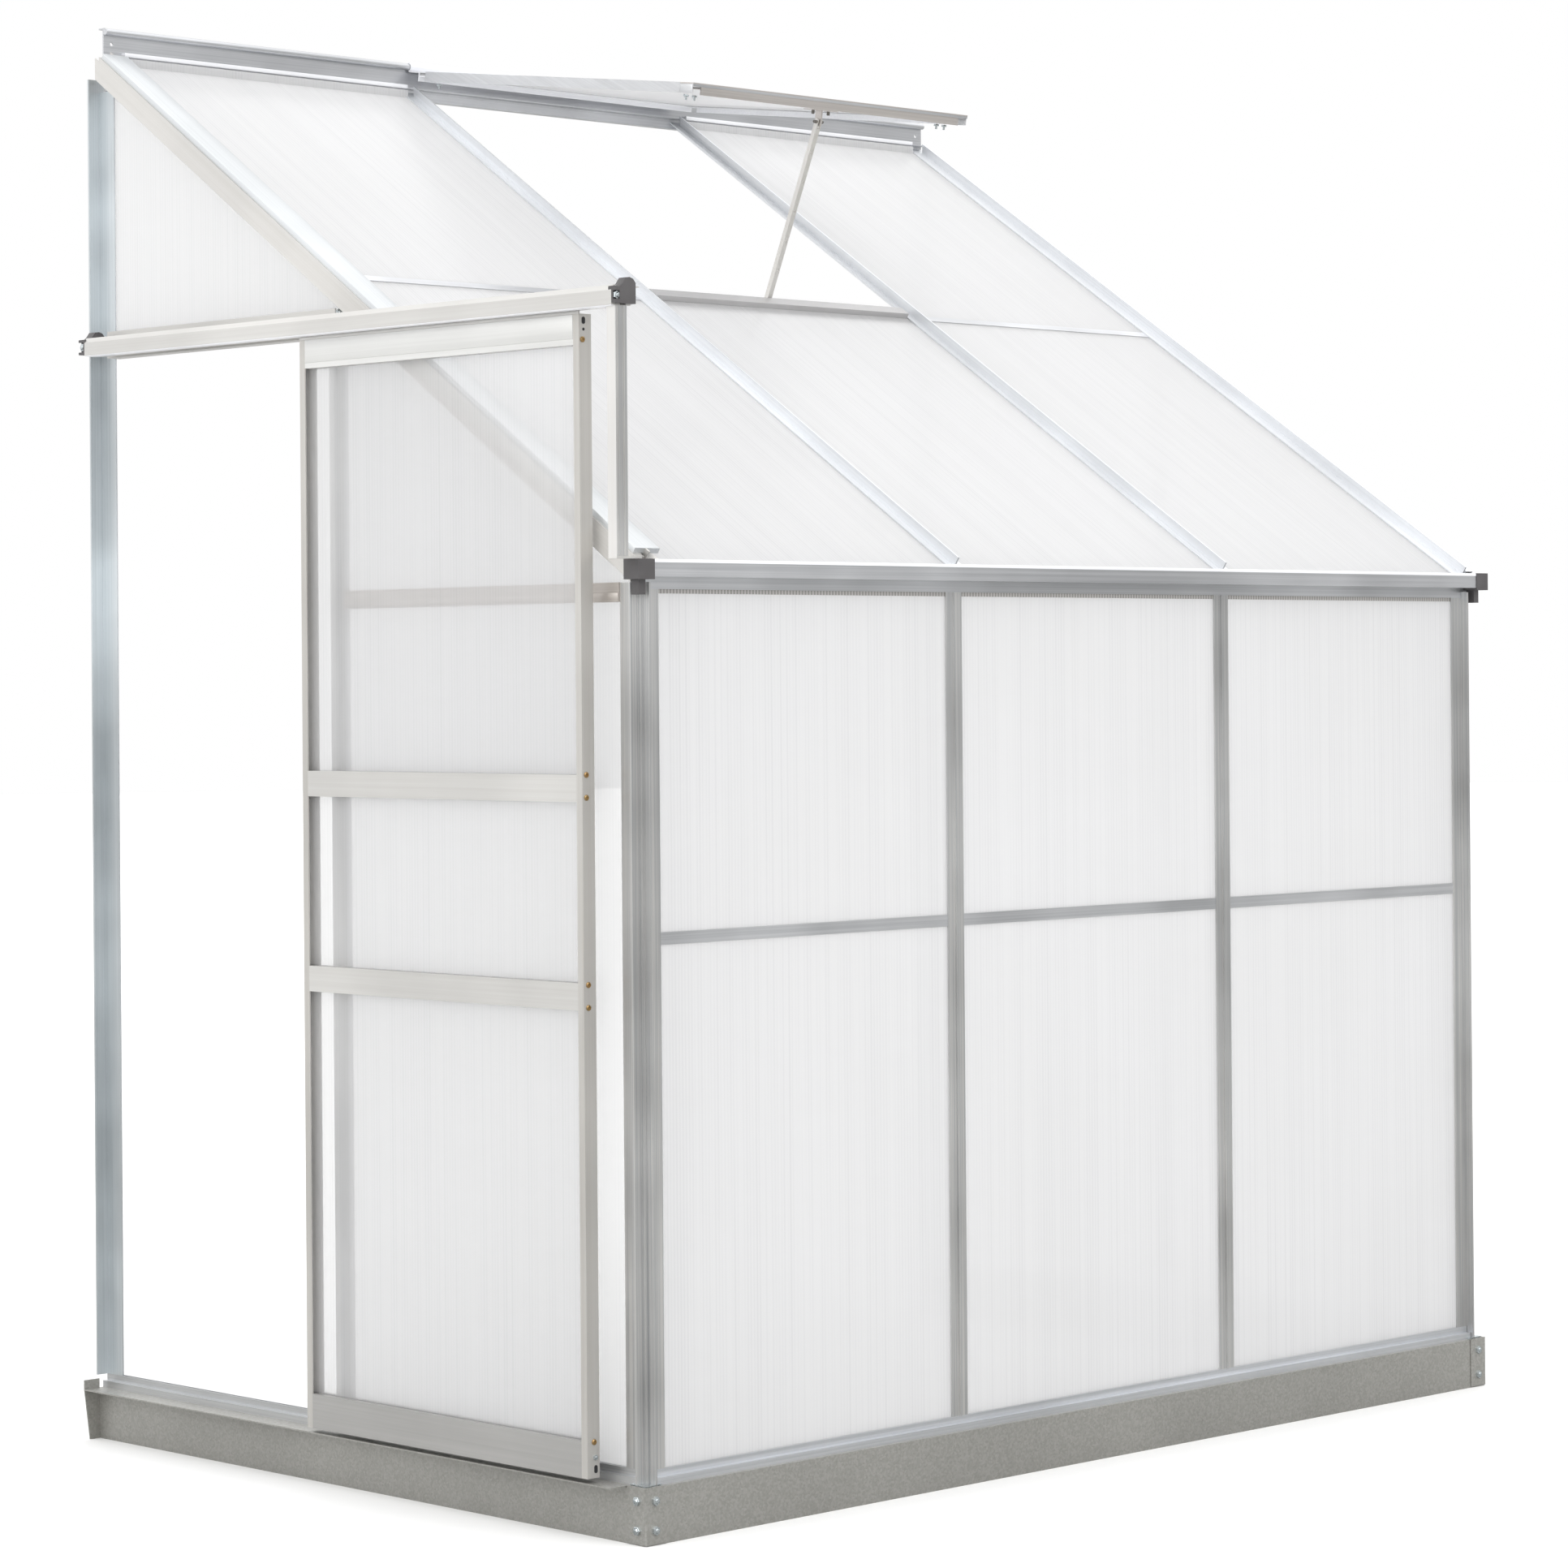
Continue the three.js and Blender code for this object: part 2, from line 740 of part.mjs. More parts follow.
function frontGablePanel(side, postPlace) {
  const near = cornerPostInner + fit;
  const far = postPlace - wall / 2 - fit;
  if (side === 'right') {
    return gablePanel(side, [
      [near, panelBottom],
      [far, panelBottom],
      [far, gablePanelTop(far)],
      [near, gablePanelTop(near)],
    ]);
  }
  const step = gablePostEdge - fit;
  return gablePanel(side, [
    [near, panelBottom],
    [far, panelBottom],
    [far, transomBottom - fit],
    [step, transomBottom - fit],
    [step, gablePanelTop(step)],
    [near, gablePanelTop(near)],
  ]);
}

function backGablePanel(side, from, bottom) {
  const to = ridgePlateFront - fit;
  const corners = [[from, bottom], [to, bottom], [to, gablePanelTop(to)], [from, gablePanelTop(from)]];
  return gablePanel(side, corners);
}

// Door transom: shelf with a groove for the triangular panel, resting on the jamb
function transom() {
  const top = transomBottom + transomHeight;
  const shelf = transomBottom + transomShelf;
  const face = transomFace;
  const back = grooveBack + wall;
  const section = outline([
    [face, transomBottom],
    [back, transomBottom],
    [back, transomBottom + wall],
    [face + wall, transomBottom + wall],
    [face + wall, shelf],
    [back, shelf],
    [back, top],
    [grooveBack, top],
    [grooveBack, shelf + wall],
    [glazingSetback, shelf + wall],
    [glazingSetback, top],
    [glazingSetback - wall, top],
    [glazingSetback - wall, shelf + wall],
    [face + wall, shelf + wall],
    [face + wall, top],
    [face, top],
  ]);
  return alongY(section, gablePostEdge, baseDepth - wallPostReach);
}

// Track: a channel open below, its top plate reaching back to the transom
function doorTrack() {
  const front = -trackFront;
  const frontLip = -doorFace - trackSlotOut;
  const backLip = frontLip + trackSlot;
  const web = backLip + trackBackLip;
  const bevel = trackTop - trackBevelHeight;
  const section = outline([
    [front, trackBottom],
    [frontLip, trackBottom],
    [frontLip, trackBottom + wall],
    [front + wall, trackBottom + wall],
    [front + wall, bevel - wall / 2],
    [front + wall / 2 + trackBevelWidth, trackTop - wall],
    [web, trackTop - wall],
    [web, trackBottom + wall],
    [backLip, trackBottom + wall],
    [backLip, trackBottom],
    [web + wall, trackBottom],
    [web + wall, trackTop - wall],
    [transomFace, trackTop - wall],
    [transomFace, trackTop],
    [front + trackBevelWidth, trackTop],
    [front, bevel],
  ]);
  return alongY(section, -trackNearEnd, baseDepth - trackWallGap);
}

// Outrigger: channel post on a foot plate that is bolted over the eave cap
function outrigger() {
  const left = outriggerLeft;
  const right = left + outriggerWidth;
  const front = -outriggerFront;
  const back = outriggerDepth - outriggerFront;
  const channel = outline([
    [left, front],
    [right, front],
    [right, back],
    [right - wall, back],
    [right - wall, front + wall],
    [left + wall, front + wall],
    [left + wall, back],
    [left, back],
  ]);
  const post = alongZ(channel, capTop, trackBottom);
  const foot = box([left, transomFace], [front, back], [capTop, capTop + outriggerFoot]);
  return joined(post, foot);
}

// Door stiles: channels open towards each other
function doorStile(end) {
  const at = (x, y) => [x, end === 'far' ? doorWidth - y : y];
  const front = -doorFace;
  const back = doorThickness - doorFace;
  const section = outline([
    at(front, 0),
    at(back, 0),
    at(back, stileWidth),
    at(back - wall, stileWidth),
    at(back - wall, wall),
    at(front + wall, wall),
    at(front + wall, stileWidth),
    at(front, stileWidth),
  ]);
  return alongZ(section, doorBottom, doorTop);
}

function doorPanelX() {
  const middle = doorThickness / 2 - doorFace;
  return [middle - sheet / 2, middle + sheet / 2];
}

// Door rails: hollow bars with a slot above and below for the panels and a web between the slots
function doorRail(bottom, height) {
  const front = -doorFace;
  const back = doorThickness - doorFace;
  const middle = (front + back) / 2;
  const slotFront = middle - grooveWidth / 2;
  const slotBack = middle + grooveWidth / 2;
  const webBottom = (height - wall) / 2;
  const up = (x, z) => [x, bottom + z];
  const section = outline([
    up(slotFront, height),
    up(slotFront, height - wall),
    up(front + wall, height - wall),
    up(front + wall, webBottom + wall),
    up(back - wall, webBottom + wall),
    up(back - wall, height - wall),
    up(slotBack, height - wall),
    up(slotBack, height),
    up(back, height),
    up(back, 0),
    up(slotBack, 0),
    up(slotBack, wall),
    up(back - wall, wall),
    up(back - wall, webBottom),
    up(front + wall, webBottom),
    up(front + wall, wall),
    up(slotFront, wall),
    up(slotFront, 0),
    up(front, 0),
    up(front, height),
  ]);
  return alongY(section, stileWidth, doorWidth - stileWidth);
}

function rollerPlaces() {
  return [rollerInset, doorWidth - rollerInset];
}

function rollerFrontX() {
  return -doorFace - trackSlotOut - rollerWidth + axleSideGap;
}

// Top rail with two hangers that pass through the slot of the track and carry the roller axles
function doorTopRail() {
  const rail = doorRail(doorTop - topRailHeight, topRailHeight);
  const front = -doorFace;
  const x0 = rollerFrontX();
  const hangers = rollerPlaces().flatMap((y) => {
    const plate = box(
      [front, front + wall],
      [y - hangerHalf, y + hangerHalf],
      [doorTop - wall, rollerHeight + hangerOver],
    );
    const bossEnds = [x0 + rollerWidth + axleSideGap, front + wall / 2];
    const boss = bar(axleBoss, bossEnds, y, rollerHeight, roundSides);
    const axle = bar(axleRadius, [x0 - axleSideGap - axleHead, front], y, rollerHeight, roundSides);
    const headEnds = [x0 - axleSideGap - axleHead, x0 - axleSideGap];
    const head = bar(axleBoss, headEnds, y, rollerHeight, roundSides);
    return [plate, boss, axle, head];
  });
  return joined(rail, ...hangers);
}

function doorPanel(from, to) {
  const width = [wall + fit, doorWidth - wall - fit];
  return box(doorPanelX(), width, [from - doorPanelEntry, to + doorPanelEntry]);
}

// Roller: grooved nylon wheel on its axle
function roller() {
  const half = rollerWidth / 2;
  const bore = axleRadius + fit;
  const profile = [
    new THREE.Vector2(bore, -half),
    new THREE.Vector2(rollerRadius, -half),
    new THREE.Vector2(rollerRadius - rollerGroove, 0),
    new THREE.Vector2(rollerRadius, half),
    new THREE.Vector2(bore, half),
    new THREE.Vector2(bore, -half),
  ];
  return new THREE.LatheGeometry(profile, roundSides).rotateZ(Math.PI / 2);
}

// Vent: sections in its own plane, y away from the hinge is negative

function ventGroove() {
  return -ventDrop - wall - grooveWidth;
}

// Hinge rail: hook round the roll of the wall bar, top plate, web and lip for the panel
function ventHingeRail() {
  const hook = new THREE.Shape();
  hook.absarc(0, 0, hookOuter, ventHookStart * radians, ventHookEnd * radians, false);
  hook.absarc(0, 0, hookInner, ventHookEnd * radians, ventHookStart * radians, true);
  const plateStart = -ventHookFoot;
  const plate = outline([
    [plateStart, -ventDrop],
    [-ventHingeRailLength, -ventDrop],
    [-ventHingeRailLength, -ventDrop - wall],
    [-ventHingeWeb - wall, -ventDrop - wall],
    [-ventHingeWeb - wall, ventGroove()],
    [-ventHingeRailLength, ventGroove()],
    [-ventHingeRailLength, ventGroove() - wall],
    [-ventHingeWeb - wall, ventGroove() - wall],
    [-ventHingeWeb - wall, -ventDrop - ventThickness],
    [-ventHingeWeb, -ventDrop - ventThickness],
    [-ventHingeWeb, -ventDrop - wall],
    [plateStart, -ventDrop - wall],
  ]);
  const run = [ventLeft, ventRight];
  return joined(alongX(plate, ...run), alongX(hook, ...run));
}

function ventSideRail(side) {
  const at = (c, z) => [side === 'right' ? ventRight - c : ventLeft + c, z];
  const section = outline([
    at(0, -ventDrop),
    at(0, -ventDrop - ventThickness),
    at(wall, -ventDrop - ventThickness),
    at(wall, ventGroove() - wall),
    at(ventLip, ventGroove() - wall),
    at(ventLip, ventGroove()),
    at(wall, ventGroove()),
    at(wall, -ventDrop - wall),
    at(ventRailWidth, -ventDrop - wall),
    at(ventRailWidth, -ventDrop),
  ]);
  return alongY(section, fit + ventFrontRailLength - ventLength, -ventHingeRailLength - fit);
}

// Front rail: long top flange, shorter face, lip for the panel, and the bracket that carries the stay
function ventFrontRail() {
  const front = -ventLength;
  const back = ventFrontRailLength - ventLength;
  const face = front + ventFaceSetback;
  const faceBottom = -ventDrop - ventThickness - ventFaceDrop;
  const faceRun = [ventLeft + ventFaceInset, ventRight - ventFaceInset];
  const flange = box([ventLeft, ventRight], [front, back], [-ventDrop - wall, -ventDrop]);
  const profile = outline([
    [face, -ventDrop - wall / 2],
    [face, faceBottom],
    [face + wall, faceBottom],
    [face + wall, ventGroove() - wall],
    [back, ventGroove() - wall],
    [back, ventGroove()],
    [face + wall, ventGroove()],
    [face + wall, -ventDrop - wall / 2],
  ]);
  const plateRun = [stayPlace - bracketWidth / 2, stayPlace + bracketWidth / 2];
  const plate = box(plateRun, [face, face + bracketLength], [faceBottom - bracketSheet, faceBottom]);
  const lugRun = [stayPlace - lugThickness / 2, stayPlace + lugThickness / 2];
  const lugBottom = -stayPivotDrop - lugRunOver;
  const lugSpan = [-stayPivotOut - lugHalf, -stayPivotOut + lugHalf];
  const lug = box(lugRun, lugSpan, [lugBottom, faceBottom - bracketSheet / 2]);
  const pinRun = [stayPlace - stayWidth / 2, stayPlace + stayWidth / 2];
  const pin = bar(stayPin, pinRun, -stayPivotOut, -stayPivotDrop, smallSides);
  return joined(alongX(profile, ...faceRun), flange, plate, lug, pin);
}

function ventPanel() {
  const side = wall + fit;
  const top = -ventDrop - wall - fit;
  const from = ventFaceSetback + wall + fit - ventLength;
  const to = -ventHingeWeb - wall - fit;
  return box([ventLeft + side, ventRight - side], [from, to], [top - sheet, top]);
}

// Stay: perforated channel that hangs from the pin, drawn upright from the pin at the origin
function ventStay() {
  const half = stayWidth / 2;
  const front = -stayDepth / 2;
  const back = stayDepth / 2;
  const section = outline([
    [-half, front],
    [half, front],
    [half, back],
    [half - stayWall, back],
    [half - stayWall, front + stayWall],
    [stayWall - half, front + stayWall],
    [stayWall - half, back],
    [-half, back],
  ]);
  const arm = alongZ(section, -stayLength - stayTail, stayHead);
  const bore = bar(stayPin + fit, [-half - overrun, half + overrun], 0, 0, smallSides);
  const headCut = box(
    [stayWall - half, half - stayWall],
    [front - overrun, front + stayDepth / 2],
    [-2 * stayHead, stayHead + overrun],
  );
  const spacing = stayLength / stayHoles;
  const holes = Array.from({ length: stayHoles }, (_, index) => {
    const hole = new THREE.CylinderGeometry(stayHole, stayHole, stayDepth, smallSides);
    return hole.translate(0, front, -spacing * (index + 1));
  });
  return cutBy(arm, bore, headCut, ...holes);
}

// Assembly

const frame = new THREE.Group();
const farPostTop = slopeHeight(farPostEdge, -gableRafterDepth) - fit;

frame.add(
  piece('base_rail_front', baseFront(), galvanised),
  piece('base_rail_door_side', baseDoorSide(), galvanised),
  piece('base_rail_far_side', baseFarSide(), galvanised),
  piece('sill_front', sillFront(), aluminium),
  piece('sill_door_side', sillSide('left'), aluminium),
  piece('sill_far_side', sillSide('right'), aluminium),
  piece('corner_post_left', cornerPost('left'), aluminium),
  piece('corner_post_right', cornerPost('right'), aluminium),
  piece('front_post_left', frontPost(postLeft), aluminium),
  piece('front_post_right', frontPost(postRight), aluminium),
  piece('wall_post_left', wallPost('left'), aluminium),
  piece('wall_post_right', wallPost('right'), aluminium),
  piece('door_jamb', gablePost('left', gablePostPlace, transomBottom), aluminium),
  piece('far_gable_post', gablePost('right', farPostPlace, farPostTop), aluminium),
  piece('gable_header_left', gableHeader('left', gablePostEdge), aluminium),
  piece('gable_header_right', gableHeader('right', farPostEdge), aluminium),
  piece('eave_beam', eaveBeam(), aluminium),
  piece('eave_cap_left', eaveCap('left'), blackPlastic),
  piece('eave_cap_right', eaveCap('right'), blackPlastic),
  piece('ridge_bar', ridgeBar(), aluminium),
  piece('door_transom', transom(), aluminium),
  piece('door_track', doorTrack(), aluminium),
  piece('track_outrigger', outrigger(), aluminium),
);

// Front wall: one lower and one upper panel in each bay
bays().forEach((bay, index) => {
  const lower = box(bay, panelPlane, [panelBottom, frontSeamHeight - seam / 2]);
  const upper = box(bay, panelPlane, [frontSeamHeight + seam / 2, eaveFloor - eavePanelGap]);
  frame.add(
    piece(`front_panel_lower_${index + 1}`, lower, twinWall),
    piece(`front_panel_upper_${index + 1}`, upper, twinWall),
  );
});

// Gables
const topPanelEdge = gablePostEdge + fit;
const topPanelBottom = transomBottom + transomShelf + wall;
const backPanelEdge = farPostPlace + wall / 2 + fit;
frame.add(
  piece('door_gable_front_panel', frontGablePanel('left', gablePostPlace), twinWall),
  piece('door_gable_top_panel', backGablePanel('left', topPanelEdge, topPanelBottom), twinWall),
  piece('far_gable_front_panel', frontGablePanel('right', farPostPlace), twinWall),
  piece('far_gable_back_panel', backGablePanel('right', backPanelEdge, panelBottom), twinWall),
);

// Roof plane, turned up from the eave
const roof = new THREE.Group();
roof.position.set(0, 0, eaveHeight);
roof.rotation.x = roofAngle;
const lowerPanelEnd = roofSeamPlace - seam / 2;
const upperPanelStart = roofSeamPlace + seam / 2;
frame.add(roof);

const panelEnd = (ridgePlateFront - fit * 2 + roofPanelBottom * roofSin) / roofCos;
const [roofBayLeft, roofBayMiddle, roofBayRight] = roofBays();
const ventPanelEdge = ventSillTop - ventSillWidth - fit;
roof.add(
  piece('rafter_gable_left', gableRafter('left'), aluminium),
  piece('rafter_mid_left', glazingRafter(postLeft), aluminium),
  piece('rafter_mid_right', glazingRafter(postRight), aluminium),
  piece('rafter_gable_right', gableRafter('right'), aluminium),
  piece('vent_sill', ventSill(), aluminium),
  piece('roof_panel_lower_1', roofPanel(roofBayLeft, -roofPanelOverhang, lowerPanelEnd), twinWall),
  piece('roof_panel_upper_1', roofPanel(roofBayLeft, upperPanelStart, panelEnd), twinWall),
  piece('roof_panel_lower_2', roofPanel(roofBayMiddle, -roofPanelOverhang, ventPanelEdge), twinWall),
  piece('roof_panel_lower_3', roofPanel(roofBayRight, -roofPanelOverhang, lowerPanelEnd), twinWall),
  piece('roof_panel_upper_3', roofPanel(roofBayRight, upperPanelStart, panelEnd), twinWall),
);

// Sliding door
const door = new THREE.Group();
door.position.set(0, doorPlace, 0);
frame.add(door);

const bottomRailTop = doorBottom + bottomRailHeight;
const lowerRail = doorBottom + lowerRailPlace;
const upperRail = doorBottom + upperRailPlace;
const topRail = doorTop - topRailHeight;
door.add(
  piece('door_stile_near', doorStile('near'), aluminium),
  piece('door_stile_far', doorStile('far'), aluminium),
  piece('door_rail_top', doorTopRail(), aluminium),
  piece('door_rail_upper', doorRail(upperRail, midRailHeight), aluminium),
  piece('door_rail_lower', doorRail(lowerRail, midRailHeight), aluminium),
  piece('door_rail_bottom', doorRail(doorBottom, bottomRailHeight), aluminium),
  piece('door_panel_top', doorPanel(upperRail + midRailHeight, topRail), twinWall),
  piece('door_panel_middle', doorPanel(lowerRail + midRailHeight, upperRail), twinWall),
  piece('door_panel_bottom', doorPanel(bottomRailTop, lowerRail), twinWall),
);

rollerPlaces().forEach((y, index) => {
  const wheel = piece(`door_roller_${index === 0 ? 'near' : 'far'}`, roller(), nylon);
  wheel.position.set(rollerFrontX() + rollerWidth / 2, y, rollerHeight);
  door.add(wheel);
});

// Roof vent, propped open on its stay
const vent = new THREE.Group();
vent.position.set(0, ridgeRollY, ridgeRollZ);
vent.rotation.x = ventAngle * radians;
frame.add(vent);

vent.add(
  piece('vent_hinge_rail', ventHingeRail(), aluminium),
  piece('vent_side_left', ventSideRail('left'), aluminium),
  piece('vent_side_right', ventSideRail('right'), aluminium),
  piece('vent_front_rail', ventFrontRail(), aluminium),
  piece('vent_panel', ventPanel(), twinWall),
);

const stay = piece('vent_stay', ventStay(), aluminium);
stay.position.set(stayPlace, -stayPivotOut, -stayPivotDrop);
stay.rotation.x = (stayLean - ventAngle) * radians;
vent.add(stay);

// The middle of the footprint becomes the origin
const footprint = new THREE.Box3().setFromObject(frame, true);
const middle = footprint.getCenter(new THREE.Vector3());
frame.position.set(-middle.x, -middle.y, -footprint.min.z);

const greenhouse = new THREE.Group();
greenhouse.add(frame);

export default greenhouse;
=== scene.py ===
import math

import bmesh
import bpy
from mathutils import Matrix, Vector


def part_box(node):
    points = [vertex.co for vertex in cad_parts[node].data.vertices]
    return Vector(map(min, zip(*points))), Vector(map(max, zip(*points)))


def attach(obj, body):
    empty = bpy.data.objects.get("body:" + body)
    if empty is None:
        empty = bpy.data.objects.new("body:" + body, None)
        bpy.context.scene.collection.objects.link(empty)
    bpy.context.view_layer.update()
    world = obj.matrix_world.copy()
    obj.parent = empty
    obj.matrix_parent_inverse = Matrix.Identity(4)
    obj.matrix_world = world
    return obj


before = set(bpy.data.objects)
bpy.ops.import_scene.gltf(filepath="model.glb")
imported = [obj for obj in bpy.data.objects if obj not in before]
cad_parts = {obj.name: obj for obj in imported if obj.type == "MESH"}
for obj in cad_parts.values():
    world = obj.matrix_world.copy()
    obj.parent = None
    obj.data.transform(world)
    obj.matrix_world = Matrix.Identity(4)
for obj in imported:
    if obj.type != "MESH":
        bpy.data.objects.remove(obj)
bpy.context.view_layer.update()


# Camera, where the photograph was taken: on the diagonal of the near corner, a little above half height.
# The lens is long, so the greenhouse shows little perspective.
standpoint = Vector((-4.93205, -5.02425, 1.1690))
yaw, pitch, roll = (math.radians(angle) for angle in (44.2542, 0.2120, 0.4483))
forward = Vector((math.sin(yaw) * math.cos(pitch), math.cos(yaw) * math.cos(pitch), math.sin(pitch)))
level = Vector((math.cos(yaw), -math.sin(yaw), 0))
down = forward.cross(level)
right = math.cos(roll) * level + math.sin(roll) * down
up = math.sin(roll) * level - math.cos(roll) * down
camera_data = bpy.data.cameras.new("camera")
camera = bpy.data.objects.new("camera", camera_data)
bpy.context.scene.collection.objects.link(camera)
camera.matrix_world = Matrix.LocRotScale(standpoint, Matrix((right, up, -forward)).transposed(), None)
camera_data.sensor_width = 36
camera_data.lens = 101.68
camera_data.shift_x = 0.00067
camera_data.shift_y = -0.0788
camera_data.clip_end = 200
bpy.context.scene.camera = camera


# Floor, a plain white studio floor that runs out of sight. Matt paint on board, slightly uneven in tone.
# Its material brings in the functions that every later material is built with.
def linear(code):
    """The linear colour of an sRGB hex code."""
    parts = [int(code[place:place + 2], 16) / 255 for place in (1, 3, 5)]
    return [p / 12.92 if p <= 0.04045 else ((p + 0.055) / 1.055) ** 2.4 for p in parts] + [1]


def add(tree, kind, inputs=None, **settings):
    """Adds a shader node with its settings; an input is a value or another node's output."""
    made = tree.nodes.new(kind)
    for name, value in settings.items():
        setattr(made, name, value)
    for name, value in (inputs or {}).items():
        if isinstance(value, bpy.types.NodeSocket):
            tree.links.new(value, made.inputs[name])
        else:
            made.inputs[name].default_value = value
    return made


def new_material(name):
    """An empty material and its node tree."""
    material = bpy.data.materials.new(name)
    material.use_nodes = True
    material.node_tree.nodes.clear()
    return material, material.node_tree


def finish_material(tree, surface, bump=None):
    """Joins a Principled surface, and its bump, to the output."""
    if bump:
        tree.links.new(bump.outputs["Normal"], surface.inputs["Normal"])
    add(tree, "ShaderNodeOutputMaterial", {"Surface": surface.outputs[0]})


# Matt white paint: even, with a cloudy change of tone a metre or so across.
floor_paint, tree = new_material("matt_white_studio_paint")
place = add(tree, "ShaderNodeTexCoord")
cloud = add(tree, "ShaderNodeTexNoise", {"Vector": place.outputs["Object"], "Scale": 1.1, "Detail": 2})
white = add(tree, "ShaderNodeMix", {
    0: cloud.outputs["Fac"], 6: linear("#F7F7F6"), 7: linear("#FBFBFB"),
}, data_type="RGBA")
# The polished bars mirror a greyer floor, as they did where the photograph was taken.
# Painted reflection: only glossy rays see the floor grey; to the camera and to diffuse light it stays white.
ray = add(tree, "ShaderNodeLightPath")
tone = add(tree, "ShaderNodeMix", {
    0: ray.outputs["Is Glossy Ray"], 6: white.outputs[2], 7: linear("#A5A5A3"),
}, data_type="RGBA")
paint = add(tree, "ShaderNodeBsdfPrincipled", {
    "Base Color": tone.outputs[2], "Roughness": 0.9, "Specular IOR Level": 0.1,
})
finish_material(tree, paint)

bpy.ops.object.select_all(action="DESELECT")
bpy.ops.mesh.primitive_circle_add(vertices=96, radius=40, fill_type="NGON", location=(0, 0, 0))
floor = bpy.context.object
floor.name = "floor"
floor.data.materials.append(floor_paint)


# Light: a white studio, brightest overhead. Low down it is darker to the right front, which the front faces
# of the bars mirror, so that they show grey as in the photograph.
world = bpy.data.worlds.new("white_studio")
bpy.context.scene.world = world
world.use_nodes = True
tree = world.node_tree
tree.nodes.clear()
right_front = (0.707, -0.707, 0.0)
way = add(tree, "ShaderNodeTexCoord")
height = add(tree, "ShaderNodeSeparateXYZ", {"Vector": way.outputs["Generated"]})
across = add(tree, "ShaderNodeVectorMath", {
    0: way.outputs["Generated"], 1: right_front,
}, operation="DOT_PRODUCT")
flank = add(tree, "ShaderNodeMapRange", {
    "Value": across.outputs["Value"], "From Min": 0.35, "From Max": 0.92, "To Min": 0.0, "To Max": 0.5,
}, interpolation_type="SMOOTHSTEP")
low = add(tree, "ShaderNodeMapRange", {
    "Value": height.outputs["Z"], "From Min": 0.1, "From Max": 0.5, "To Min": 1.0, "To Max": 0.0,
}, interpolation_type="SMOOTHSTEP")
dark = add(tree, "ShaderNodeMath", {
    0: flank.outputs["Result"], 1: low.outputs["Result"],
}, operation="MULTIPLY")
light = add(tree, "ShaderNodeMath", {0: 1.0, 1: dark.outputs[0]}, operation="SUBTRACT")
sky = add(tree, "ShaderNodeMapRange", {
    "Value": height.outputs["Z"], "From Min": 0.15, "From Max": 0.7, "To Min": 1.0, "To Max": 1.45,
}, interpolation_type="SMOOTHSTEP")
level_light = add(tree, "ShaderNodeMath", {
    0: light.outputs[0], 1: sky.outputs["Result"],
}, operation="MULTIPLY")
air = add(tree, "ShaderNodeBackground", {"Color": linear("#FFFFFF"), "Strength": level_light.outputs[0]})
add(tree, "ShaderNodeOutputWorld", {"Surface": air.outputs[0]})


def soft_box(name, place, aim, size, power):
    """A large square lamp at place, turned towards aim."""
    data = bpy.data.lights.new(name, "AREA")
    data.shape = "SQUARE"
    data.size = size
    data.energy = power
    lamp = bpy.data.objects.new(name, data)
    bpy.context.scene.collection.objects.link(lamp)
    lamp.location = place
    lamp.rotation_euler = (Vector(aim) - Vector(place)).to_track_quat("-Z", "Y").to_euler()


soft_box("front_soft_box", place=(-1.0, -6.5, 4.5), aim=(0, 0, 1.0), size=4.0, power=90)
soft_box("left_soft_box", place=(-7.0, 1.0, 4.0), aim=(0, 0, 1.2), size=4.0, power=60)
bpy.context.scene.view_settings.view_transform = "Standard"
